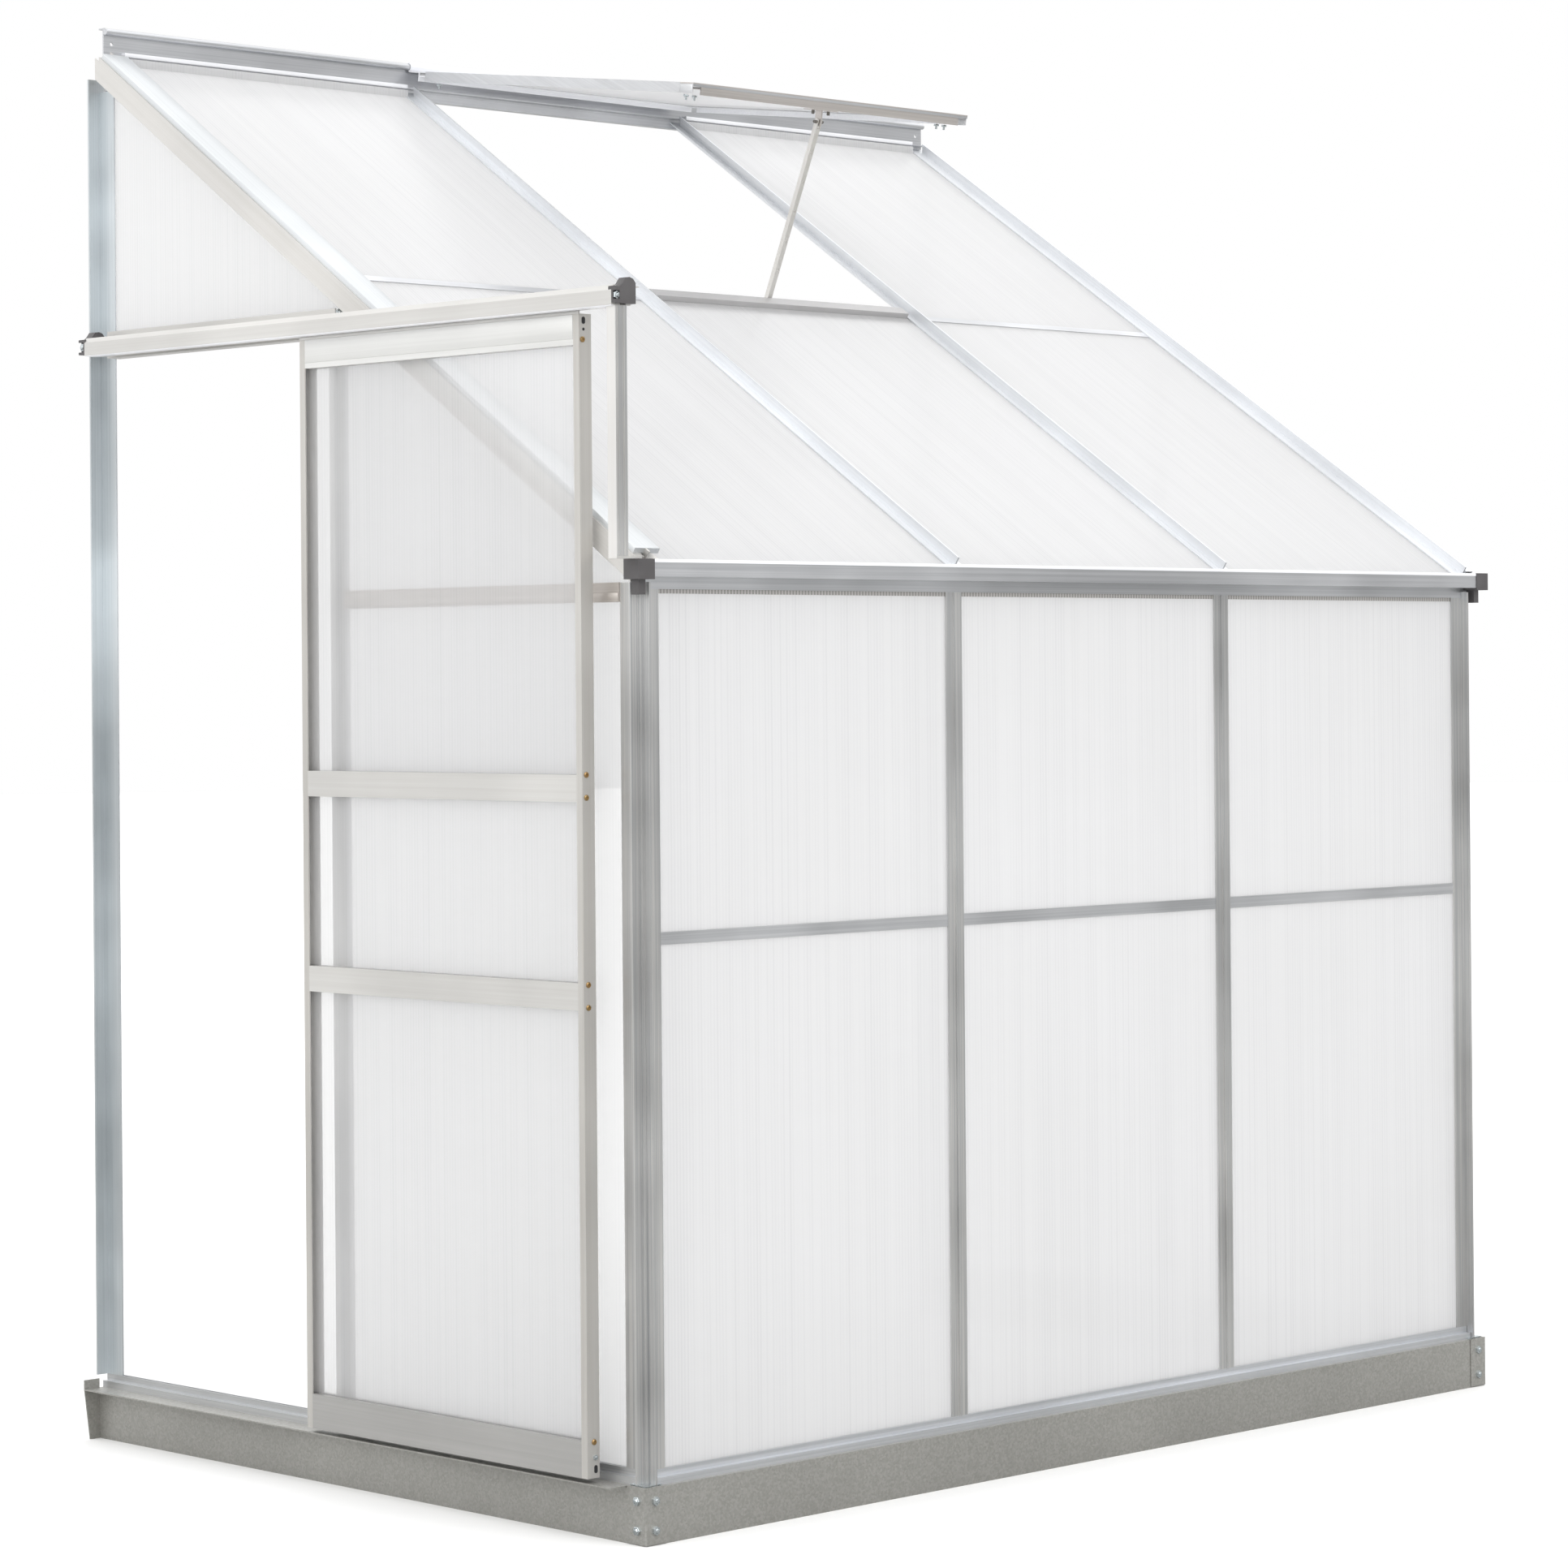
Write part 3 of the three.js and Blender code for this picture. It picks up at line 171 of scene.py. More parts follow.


# Aluminium bars: sills, posts, beams and the front rail of the vent, all extruded and left as they came from
# the die. Extruded aluminium is a soft grey metal with faint die lines and cloudy bands along its length,
# which where they swing widely are painted highlights and painted shade.
def extruded(name, run, dull, bright, band=(2.5, 600), slope=0, shine=0.92, drift_and_highlights=(0.93, 1.03)):
    """Extruded aluminium for bars that run along one axis.

    band is the width and length of a die band in millimetres, slope the lie of the bar in degrees, shine
    how metallic it looks, and patches how far its tone drifts down and up."""
    streak = [band[0] / 1000] * 3
    streak["xyz".index(run)] = band[1] / 1000
    material, tree = new_material(name)
    place = add(tree, "ShaderNodeTexCoord")
    bands = add(tree, "ShaderNodeMapping", {
        "Vector": place.outputs["Object"],
        "Rotation": (math.radians(slope), 0, 0),
        "Scale": streak,
    }, vector_type="TEXTURE")
    lines = add(tree, "ShaderNodeTexNoise", {
        "Vector": bands.outputs["Vector"], "Scale": 1, "Detail": 3, "Roughness": 0.6,
    })
    # Clouds are 250 mm across.
    clouds = add(tree, "ShaderNodeTexNoise", {
        "Vector": place.outputs["Object"], "Scale": 1 / 0.25, "Detail": 2,
    })
    grade = add(tree, "ShaderNodeMapRange", {
        "Value": lines.outputs["Fac"], "From Min": 0.3, "From Max": 0.7, "To Min": 0.0, "To Max": 1.0,
    })
    tone = add(tree, "ShaderNodeMix", {
        0: grade.outputs["Result"], 6: linear(dull), 7: linear(bright),
    }, data_type="RGBA")
    # Painted highlights and shade: where the range is wide, the clouds lift and lower the tone along the bar;
    # a narrow range is only a faint drift of tone.
    drift_and_highlight_patches = add(tree, "ShaderNodeMapRange", {
        "Value": clouds.outputs["Fac"],
        "From Min": 0.35, "From Max": 0.65, "To Min": drift_and_highlights[0], "To Max": drift_and_highlights[1],
    })
    shaded = add(tree, "ShaderNodeMix", {
        0: 1.0, 6: tone.outputs[2], 7: drift_and_highlight_patches.outputs["Result"],
    }, data_type="RGBA", blend_type="MULTIPLY")
    gloss = add(tree, "ShaderNodeMapRange", {
        "Value": lines.outputs["Fac"], "From Min": 0.3, "From Max": 0.7, "To Min": 0.3, "To Max": 0.42,
    })
    relief = add(tree, "ShaderNodeBump", {
        "Height": lines.outputs["Fac"], "Strength": 0.12, "Distance": 0.0003,
    })
    metal = add(tree, "ShaderNodeBsdfPrincipled", {
        "Base Color": shaded.outputs[2], "Metallic": shine, "Roughness": gloss.outputs["Result"],
    })
    finish_material(tree, metal, relief)
    return material


def dress(material, *names):
    """Gives CAD nodes their finish."""
    for name in names:
        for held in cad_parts[name].material_slots:
            held.material = material


# Die bands are drawn 2.5 mm wide, coarser than the real ones, which are too fine to show. The vent's front
# rail is given a warmer tone, and the sill under the vent a darker, less metallic one.
# These three swing widely in tone: painted highlights and painted shade along the posts, the wall posts and
# the bars that run along the wall.
upright = extruded("mill_finish_aluminium_upright", "z", "#BFC1C3", "#E2E1DF", drift_and_highlights=(0.86, 1.12))
cool_upright = extruded("mill_finish_aluminium_wall_post", "z", "#D3D9DC", "#E3E8EB", drift_and_highlights=(0.84, 1.14))
lengthwise = extruded("mill_finish_aluminium_lengthwise", "x", "#CBCDD0", "#DDDEE1", drift_and_highlights=(0.86, 1.14))
warm_lengthwise = extruded("mill_finish_aluminium_warm", "x", "#D4CECA", "#E4DFDB")
bright_lengthwise = extruded("mill_finish_aluminium_bright", "x", "#D8DBDF", "#E8EAEE")
dull_lengthwise = extruded("mill_finish_aluminium_dull", "x", "#B5B4B5", "#C2C1C1", shine=0.4)
crosswise = extruded("mill_finish_aluminium_crosswise", "y", "#CBCDCF", "#DDDEDF")
dress(
    upright,
    "corner_post_left", "corner_post_right", "front_post_left", "front_post_right", "door_jamb",
    "far_gable_post",
)
dress(cool_upright, "wall_post_left", "wall_post_right")
dress(lengthwise, "eave_beam", "ridge_bar")
dress(warm_lengthwise, "vent_front_rail")
dress(bright_lengthwise, "sill_front")
dress(dull_lengthwise, "vent_sill")
dress(crosswise, "sill_door_side", "sill_far_side")


# Door bars, transom, track and outrigger, and the hinge rail, right rail and stay of the vent: the same
# alloy, etched before use. Etching leaves it more even than the bars of the walls. Each bar is given its own
# tone, satin to nearly white: lit and shaded copies of one finish, painted light and painted shade.
def etched(name, run, dull, bright, **others):
    """Extruded aluminium whose die bands the etch has widened and shortened."""
    return extruded(name, run, dull, bright, band=(4, 500), **others)


pale_upright = etched("etched_aluminium_upright", "z", "#E8E5E0", "#EEECE8")
# The outrigger's finish is painted nearly white: painted light on its lit side.
white_upright = etched("etched_aluminium_outrigger", "z", "#F0EEEB", "#F4F3F1")
satin_upright = etched("satin_aluminium_upright", "z", "#C2BFBA", "#CAC8C4", shine=0.5)
pale_crosswise = etched("satin_aluminium_crosswise", "y", "#CCCAC7", "#D3D2CF", shine=0.45)
grey_crosswise = etched("satin_aluminium_bottom_rail", "y", "#AAA9A7", "#B2B1AF", shine=0.45)
bright_crosswise = etched("etched_aluminium_crosswise", "y", "#DBDBD9", "#E2E2E0", shine=0.45)
# Nearly white and hardly metallic: painted light on the vent rails, wall bar noses, gutter lip and slide
# strip that wear it.
painted_light_aluminium = etched("etched_aluminium_painted_light", "x", "#ECEDF1", "#F3F4F7", shine=0.15)
dress(pale_upright, "vent_stay")
dress(white_upright, "track_outrigger")
dress(satin_upright, "door_stile_near", "door_stile_far")
dress(pale_crosswise, "door_transom", "door_track", "door_rail_upper", "door_rail_lower")
dress(grey_crosswise, "door_rail_bottom")
dress(bright_crosswise, "door_rail_top")
dress(painted_light_aluminium, "vent_hinge_rail", "vent_side_right")
# The header bars were left as they came from the die, and have tarnished.
header_finish = extruded("tarnished_aluminium_header", "y", "#C6BFB9", "#D2CCC6", shine=0.7)
dress(header_finish, "gable_header_left", "gable_header_right")


# Rafters and the left rail of the vent: extruded like the posts, with their bands running up the slope.
# They are painted almost white, a painted reflection of the sky. The near gable rafter is etched, and greyer
# from the side.
roof_tilt = 33.307
sloping = extruded("mill_finish_aluminium_sloping", "y", "#E0E2E5", "#ECEEF1", slope=roof_tilt, shine=0.6)
warm_sloping = etched("etched_aluminium_sloping", "y", "#D1CFCB", "#D9D7D4", slope=roof_tilt, shine=0.5)
# On the vent the bands are drawn at a slant to the rail, so that they show from the side.
vent_sloping = extruded("mill_finish_aluminium_on_vent", "y", "#DADBDD", "#E6E7E9", slope=26.0)
dress(sloping, "rafter_mid_left", "rafter_mid_right", "rafter_gable_right")
dress(warm_sloping, "rafter_gable_left")
dress(vent_sloping, "vent_side_left")


# Base: folded sheet steel, hot-dip galvanised with a minimised spangle. Zinc gives a dull mid-grey with a
# grain of small crystals that catch the light a little differently, and a cloudy drift from end to end.
galvanised, tree = new_material("hot_dip_galvanised_steel_sheet")
place = add(tree, "ShaderNodeTexCoord")
# Crystals are 3 mm across.
spangle = add(tree, "ShaderNodeTexVoronoi", {"Vector": place.outputs["Object"], "Scale": 1 / 0.003})
facet = add(tree, "ShaderNodeSeparateColor", {"Color": spangle.outputs["Color"]})
wash = add(tree, "ShaderNodeTexNoise", {
    "Vector": place.outputs["Object"], "Scale": 3, "Detail": 3, "Roughness": 0.55,
})
tone = add(tree, "ShaderNodeMix", {
    0: facet.outputs["Red"], 6: linear("#A9A8A3"), 7: linear("#BAB9B5"),
}, data_type="RGBA")
drift = add(tree, "ShaderNodeMapRange", {
    "Value": wash.outputs["Fac"], "From Min": 0.35, "From Max": 0.65, "To Min": 0.95, "To Max": 1.04,
})
shaded = add(tree, "ShaderNodeMix", {
    0: 1.0, 6: tone.outputs[2], 7: drift.outputs["Result"],
}, data_type="RGBA", blend_type="MULTIPLY")
gloss = add(tree, "ShaderNodeMapRange", {
    "Value": facet.outputs["Green"], "From Min": 0, "From Max": 1, "To Min": 0.38, "To Max": 0.52,
})
relief = add(tree, "ShaderNodeBump", {
    "Height": spangle.outputs["Distance"], "Strength": 0.05, "Distance": 0.0003,
})
zinc = add(tree, "ShaderNodeBsdfPrincipled", {
    "Base Color": shaded.outputs[2], "Metallic": 0.75, "Roughness": gloss.outputs["Result"],
})
finish_material(tree, zinc, relief)
dress(galvanised, "base_rail_front", "base_rail_door_side", "base_rail_far_side")


# Panels: twin-wall polycarbonate sheet, two thin skins held apart by ribs. It is milky, but a bar close
# behind it shows through; the ribs draw faint, uneven upright lines, which run down the slope on the roof.
rib_pitch = 0.006


def twin_wall(name, across, clear):
    """Twin-wall sheet with its ribs spaced along one axis; clear is the light that passes unscattered."""
    material, tree = new_material(name)
    place = add(tree, "ShaderNodeTexCoord")
    axes = add(tree, "ShaderNodeSeparateXYZ", {"Vector": place.outputs["Object"]})
    # The skins sag between the ribs by a fifth of a millimetre.
    cells = add(tree, "ShaderNodeMath", {
        0: axes.outputs[across], 1: math.tau / rib_pitch,
    }, operation="MULTIPLY")
    wave = add(tree, "ShaderNodeMath", {0: cells.outputs[0]}, operation="SINE")
    sag = add(tree, "ShaderNodeMapRange", {
        "Value": wave.outputs[0], "From Min": -1.0, "From Max": 1.0, "To Min": 0.0, "To Max": 1.0,
    })
    # No two ribs are equally thick, so some lines come out stronger: streaks 8 mm wide and 1 m long.
    streak_size = (0.008, 1.0, 1.0) if across == "X" else (1.0, 0.008, 1.0)
    stretch = add(tree, "ShaderNodeMapping", {
        "Vector": place.outputs["Object"], "Scale": streak_size,
    }, vector_type="TEXTURE")
    streak = add(tree, "ShaderNodeTexNoise", {"Vector": stretch.outputs["Vector"], "Scale": 1, "Detail": 2})
    uneven = add(tree, "ShaderNodeMapRange", {
        "Value": streak.outputs["Fac"], "From Min": 0.35, "From Max": 0.7, "To Min": 0.0, "To Max": 1.0,
    })
    line = add(tree, "ShaderNodeMath", {
        0: sag.outputs["Result"], 1: uneven.outputs["Result"],
    }, operation="MULTIPLY")
    haze = add(tree, "ShaderNodeTexNoise", {"Vector": place.outputs["Object"], "Scale": 2.2, "Detail": 2})
    skin = add(tree, "ShaderNodeMix", {
        0: haze.outputs["Fac"], 6: linear("#E8E8E8"), 7: linear("#ECECED"),
    }, data_type="RGBA")
    tone = add(tree, "ShaderNodeMix", {
        0: line.outputs[0], 6: skin.outputs[2], 7: linear("#E2E2E3"),
    }, data_type="RGBA")
    relief = add(tree, "ShaderNodeBump", {
        "Height": sag.outputs["Result"], "Strength": 0.25, "Distance": 0.0002,
    })
    milk = add(tree, "ShaderNodeBsdfPrincipled", {
        "Base Color": tone.outputs[2], "Roughness": 0.2, "IOR": 1.58, "Normal": relief.outputs["Normal"],
    })
    glow = add(tree, "ShaderNodeBsdfTranslucent", {"Color": tone.outputs[2]})
    body = add(tree, "ShaderNodeMixShader", {0: 0.45, 1: milk.outputs[0], 2: glow.outputs[0]})
    through = add(tree, "ShaderNodeBsdfTransparent", {"Color": linear("#FBFBFB")})
    sheet = add(tree, "ShaderNodeMixShader", {0: clear, 1: body.outputs[0], 2: through.outputs[0]})
    add(tree, "ShaderNodeOutputMaterial", {"Surface": sheet.outputs[0]})
    return material


# The panels of the gable and the door stand close before bars, so less of the view is scattered.
milky_front = twin_wall("twin_wall_polycarbonate_front_and_roof", across="X", clear=0.15)
milky_gable = twin_wall("twin_wall_polycarbonate_gable_and_door", across="Y", clear=0.66)
dress(
    milky_front,
    "front_panel_lower_1", "front_panel_upper_1", "front_panel_lower_2", "front_panel_upper_2",
    "front_panel_lower_3", "front_panel_upper_3", "roof_panel_lower_1", "roof_panel_upper_1",
    "roof_panel_lower_2", "roof_panel_lower_3", "roof_panel_upper_3", "vent_panel",
)
dress(
    milky_gable,
    "door_gable_front_panel", "door_gable_top_panel", "far_gable_front_panel", "far_gable_back_panel",
    "door_panel_top", "door_panel_middle", "door_panel_bottom",
)


# Caps on the ends of the eave beam: moulded polypropylene, charcoal, with the fine grain of the mould.
# They are pushed on to the open ends of the beam.
moulded, tree = new_material("moulded_charcoal_polypropylene")
place = add(tree, "ShaderNodeTexCoord")
# The grain is 1.1 mm across, coarser than the real one, and the tone drifts over 33 mm.
grain = add(tree, "ShaderNodeTexNoise", {"Vector": place.outputs["Object"], "Scale": 900, "Detail": 2})
patch = add(tree, "ShaderNodeTexNoise", {"Vector": place.outputs["Object"], "Scale": 30, "Detail": 1})
tone = add(tree, "ShaderNodeMix", {
    0: patch.outputs["Fac"], 6: linear("#474546"), 7: linear("#585657"),
}, data_type="RGBA")
relief = add(tree, "ShaderNodeBump", {"Height": grain.outputs["Fac"], "Strength": 0.25, "Distance": 0.0002})
plastic = add(tree, "ShaderNodeBsdfPrincipled", {
    "Base Color": tone.outputs[2], "Roughness": 0.45, "IOR": 1.49,
})
finish_material(tree, plastic, relief)
dress(moulded, "eave_cap_left", "eave_cap_right")


# Caps on the two ends of the door track: moulded in the same charcoal plastic, a plug with a raised hump
# that closes the channel and stops the rollers. They are pushed on and held by a bolt in a notch.
base_corner, base_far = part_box("base_rail_front")


def at(x, y, z):
    """The point that is x, y and z millimetres from the outer corner of the base."""
    return base_corner + Vector((x, y, z)) / 1000


def spot_of(point):
    """Where a point is, in the same millimetres."""
    return (point - base_corner) * 1000


def reach(node):
    """The lowest and highest corner of a CAD node, in the same millimetres."""
    return [spot_of(corner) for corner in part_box(node)]


def start_block(name, low, high):
    """A block between two corners, in edit mode, with nothing selected."""
    bpy.ops.object.select_all(action="DESELECT")
    bpy.ops.mesh.primitive_cube_add(size=1, location=(low + high) / 2)
    block = bpy.context.object
    block.name = name
    block.scale = high - low
    bpy.ops.object.transform_apply(location=True, rotation=True, scale=True)
    bpy.ops.object.mode_set(mode="EDIT")
    bpy.ops.mesh.select_all(action="DESELECT")
    return block


def split(block, x):
    """Cuts new edges round a block where x is that many millimetres from the corner of the base."""
    bpy.ops.mesh.select_all(action="SELECT")
    bpy.ops.mesh.bisect(plane_co=at(x, 0, 0), plane_no=(1, 0, 0))


def pick(block, kind, wanted):
    """Selects the faces, edges or verts that wanted says yes to, and nothing else."""
    bpy.ops.mesh.select_all(action="DESELECT")
    bpy.ops.mesh.select_mode(type={"faces": "FACE", "edges": "EDGE", "verts": "VERT"}[kind])
    mesh = bmesh.from_edit_mesh(block.data)
    for part in getattr(mesh, kind):
        if wanted(part):
            part.select_set(True)
    mesh.select_flush_mode()
    bmesh.update_edit_mesh(block.data)


def soften(radius, steps):
    """Rounds the selected edges; radius is in millimetres."""
    bpy.ops.mesh.bevel(offset=radius / 1000, segments=steps, affect="EDGES")


def round_edges(block, wanted, radius, steps):
    """Rounds the edges that wanted says yes to."""
    pick(block, "edges", wanted)
    soften(radius, steps)


def run(edge, axis):
    """How far an edge runs along one axis, in millimetres."""
    start, end = (getattr(vert.co, axis) for vert in edge.verts)
    return abs(end - start) * 1000


def shade(block):
    """Turns all faces outwards and shades those as one that meet at less than 35 degrees."""
    bpy.ops.mesh.select_all(action="SELECT")
    bpy.ops.mesh.normals_make_consistent(inside=False)
    bpy.ops.object.mode_set(mode="OBJECT")
    bpy.ops.object.select_all(action="DESELECT")
    block.select_set(True)
    bpy.context.view_layer.objects.active = block
    bpy.ops.object.shade_smooth_by_angle(angle=math.radians(35))


def end_piece(block, material, body):
    """Leaves edit mode and hands the piece over."""
    shade(block)
    block.data.materials.append(material)
    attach(block, body)
    block.select_set(False)


track_low, track_high = reach("door_track")
track_bottom, track_top = round(track_low.z), round(track_high.z)
# The outline of the hump: places from the outer edge of the track, and how far they rise above the shelf.
hump = ((8, 0), (14, 5), (19, 12), (27, 13), (33, 11), (37, 6))


def track_cap(name, front, back, notch_low, notch_high):
    """A cap between two places along the track, with a notch for its bolt."""
    shelf = track_top - 2
    outer = track_low.x
    cap = start_block(name, at(outer + 0.1, front, track_bottom + 2), at(outer + hump[-1][0], back, shelf))
    for place, rise in hump[:-1]:
        split(cap, outer + place)
    for place, rise in hump[1:]:
        pick(cap, "verts", lambda v: (
            abs(spot_of(v.co).x - outer - place) < 0.5 and spot_of(v.co).z > shelf - 1))
        bpy.ops.transform.translate(value=(0, 0, rise / 1000))
    round_edges(cap, lambda e: (
        run(e, "y") < 0.1 and all(spot_of(v.co).z > shelf - 1 for v in e.verts)), radius=1.2, steps=2)
    bpy.ops.object.mode_set(mode="OBJECT")
    notch = start_block("notch", notch_low, notch_high)
    bpy.ops.object.mode_set(mode="OBJECT")
    cut = cap.modifiers.new("notch", "BOOLEAN")
    cut.object = notch
    bpy.ops.object.select_all(action="DESELECT")
    cap.select_set(True)
    bpy.context.view_layer.objects.active = cap
    bpy.ops.object.modifier_apply(modifier="notch")
    bpy.data.objects.remove(notch)
    bpy.ops.object.mode_set(mode="EDIT")
    end_piece(cap, moulded, "frame")


near_end, far_end = track_low.y, track_high.y
track_cap(
    "track_cap_near",
    front=near_end - 8.3,
    back=near_end + 6,
    notch_low=at(track_low.x - 10, near_end - 16, track_bottom + 7),
    notch_high=at(track_low.x + 8, near_end - 3, track_bottom + 19),
)
track_cap(
    "track_cap_far",
    front=far_end - 2,
    back=far_end + 15,
    notch_low=at(track_low.x - 10, far_end + 3, track_bottom + 6),
    notch_high=at(track_low.x + 5.2, far_end + 29, track_bottom + 21),
)


# Bolts: small hexagon heads with a domed end, zinc-plated steel. Zinc plating is bright, cool and a little
# cloudy, so each head shows as a light dot with a dark underside.
def small_steel(name, grain, dull, bright, shine, smooth, rough):
    """Steel of small fasteners; grain is the scale of its clouds.

    shine is how metallic it looks, and smooth and rough are the ends of its gloss."""
    material, tree = new_material(name)
    place = add(tree, "ShaderNodeTexCoord")
    cloud = add(tree, "ShaderNodeTexNoise", {"Vector": place.outputs["Object"], "Scale": grain, "Detail": 2})
    tone = add(tree, "ShaderNodeMix", {
        0: cloud.outputs["Fac"], 6: linear(dull), 7: linear(bright),
    }, data_type="RGBA")
    gloss = add(tree, "ShaderNodeMapRange", {
        "Value": cloud.outputs["Fac"], "From Min": 0.3, "From Max": 0.7, "To Min": smooth, "To Max": rough,
    })
    steel = add(tree, "ShaderNodeBsdfPrincipled", {
        "Base Color": tone.outputs[2], "Metallic": shine, "Roughness": gloss.outputs["Result"],
    })
    finish_material(tree, steel)
    return material


# Clouds of the plating are nearly 4 mm across.
plated = small_steel(
    "zinc_plated_steel", grain=260, dull="#B9C2C6", bright="#E2E8EA", shine=1.0, smooth=0.18, rough=0.34)
to_left, to_right = Vector((-1, 0, 0)), Vector((1, 0, 0))
to_front, to_back = Vector((0, -1, 0)), Vector((0, 1, 0))
to_top, to_floor = Vector((0, 0, 1)), Vector((0, 0, -1))


def looks(face, way):
    """Whether a face looks one way, within some 18 degrees."""
    return face.normal.dot(way) > 0.95


def borders(edge, way):
    """Whether an edge is on a side that looks one way."""
    return any(looks(face, way) for face in edge.link_faces)


def draw_out(way, distance):
    """Extrudes what is selected one way by so many millimetres."""
    bpy.ops.mesh.extrude_region_move(TRANSFORM_OT_translate={"value": way * (distance / 1000)})


def draw_in(distance):
    """Insets the selected faces by so many millimetres."""
    bpy.ops.mesh.inset(thickness=distance / 1000)


def start_round(name, sides, radius, height):
    """An upright round blank standing on the origin, in edit mode; its sizes are in millimetres."""
    radius, height = radius / 1000, height / 1000
    bpy.ops.object.select_all(action="DESELECT")
    bpy.ops.mesh.primitive_cylinder_add(
        vertices=sides, radius=radius, depth=height, location=(0, 0, height / 2))
    blank = bpy.context.object
    blank.name = name
    bpy.ops.object.transform_apply(location=True, rotation=True, scale=True)
    bpy.ops.object.mode_set(mode="EDIT")
    return blank


def end_model(blank, material):
    """Leaves edit mode; the model is only copied from."""
    shade(blank)
    blank.data.materials.append(material)


def copy_to(model, name, spot, facing, body):
    """A copy with its own mesh, standing on spot and pointing along facing."""
    made = model.copy()
    made.data = model.data.copy()
    made.name = name
    bpy.context.scene.collection.objects.link(made)
    turned = to_top.rotation_difference(facing).to_matrix().to_4x4()
    made.data.transform(Matrix.Translation(spot) @ turned)
    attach(made, body)


# A hexagon head with a rounded rim, and on it the domed end.
bolt = start_round("bolt_model", sides=6, radius=6.5, height=3.2)
round_edges(bolt, lambda e: borders(e, to_top), radius=0.6, steps=2)
pick(bolt, "faces", lambda f: looks(f, to_top))
draw_in(1.6)
draw_out(to_top, 1.8)
bpy.ops.transform.resize(value=(0.75, 0.75, 1))
soften(radius=0.4, steps=2)
end_model(bolt, plated)

# Two bolts, one above the other, stand on each leg of the corner plates, which are 2 mm thick.
plate_sheet = 2
left_inset, right_inset = 15.5, 18
base_width = spot_of(base_far).x
for height in (20, 60):
    for name, spot, facing in (
        ("left_side", at(-plate_sheet, left_inset, height), to_left),
        ("left_front", at(left_inset, -plate_sheet, height), to_front),
        ("right_front", at(base_width - right_inset, -plate_sheet, height), to_front),
        ("right_side", at(base_width + plate_sheet, right_inset, height), to_right),
    ):
        copy_to(bolt, f"corner_bolt_{name}_{height}", spot, facing, "frame")
for name, spot, facing in (
    ("track_cap_bolt_near", at(track_low.x + 6.8, near_end - 3, track_bottom + 13), to_front),
    ("track_cap_bolt_far", at(track_low.x + 5.1, far_end + 8.4, track_bottom + 13.5), to_left),
    ("transom_end_bolt", at(8, reach("door_transom")[0].y, track_top + 7), to_front),
):
    copy_to(bolt, name, spot, facing, "frame")
# The one in the foot of the door is the smaller size.
bolt.data.transform(Matrix.Scale(0.62, 4))
stile_low = reach("door_stile_near")[0]
stile_foot = at(stile_low.x + 14, stile_low.y, stile_low.z + 28)
copy_to(bolt, "door_stile_bolt", stile_foot, to_front, "door")
bpy.data.objects.remove(bolt)


# Corner plates of the base: galvanised angles over the two front corners, each leg 38 mm wide and held by
# two bolts, with a square tab that lies on the corner under the post.
plate_leg, plate_foot, turned_edge = 36, 1.5, 1.5
tab_start, tab_end, tab_front, tab_back = 2, 33, 3, 35
tab_bottom, tab_top = 0.3, 2.6
base_height = spot_of(base_far).z


def corner_plate(name, corner, side):
    """A plate round one front corner; side is 1 where it runs right from the corner, else -1."""
    def inward(point):
        """How far a point lies from the corner, along the front."""
        return (spot_of(point).x - corner) * side

    near, far = sorted((corner - plate_sheet * side, corner + plate_leg * side))
    plate = start_block(name, at(near, -plate_sheet, plate_foot), at(far, 0, base_height - 0.5))
    split(plate, corner)
    pick(plate, "faces", lambda f: looks(f, to_back) and inward(f.calc_center_median()) < 0)
    draw_out(to_back, plate_leg)
    pick(plate, "faces", lambda f: looks(f, to_top))
    draw_out(to_top, turned_edge)
    # Of the long upright edges the fold is rounded, and those of the two free ends are only broken.
    round_edges(plate, lambda e: run(e, "z") > 10 and all(
        spot_of(v.co).y < -1 and inward(v.co) < -1 for v in e.verts), radius=1.9, steps=3)
    round_edges(plate, lambda e: run(e, "z") > 10 and all(
        spot_of(v.co).y > 30 or inward(v.co) > 30 for v in e.verts), radius=0.8, steps=1)
    end_piece(plate, galvanised, "frame")
    near, far = sorted((corner + tab_start * side, corner + tab_end * side))
    tab = start_block(
        name + "_tab",
        at(near, tab_front, base_height + tab_bottom), at(far, tab_back, base_height + tab_top))
    round_edges(tab, lambda e: run(e, "z") > 1, radius=2, steps=2)
    end_piece(tab, plated, "frame")


corner_plate("corner_plate_left", corner=0, side=1)
corner_plate("corner_plate_right", corner=base_width, side=-1)


# Joiners between the lower and upper front panels: thin aluminium H sections that grip both sheets. They
# run from post to post and show as a plain grey band.
joiner_web, joiner_height = 3.2, 16.5


def flange(bar, way, spread):
    """Draws the side of a bar that looks one way out into a flange 1 mm thick; spread is how much wider."""
    mesh = bmesh.from_edit_mesh(bar.data)
    outermost = max(vert.co.dot(way) for vert in mesh.verts)
    pick(bar, "faces", lambda f: all(v.co.dot(way) > outermost - 0.0001 for v in f.verts))
    draw_out(way, 0.2)
    bpy.ops.transform.resize(value=spread)
    draw_out(way, 0.8)


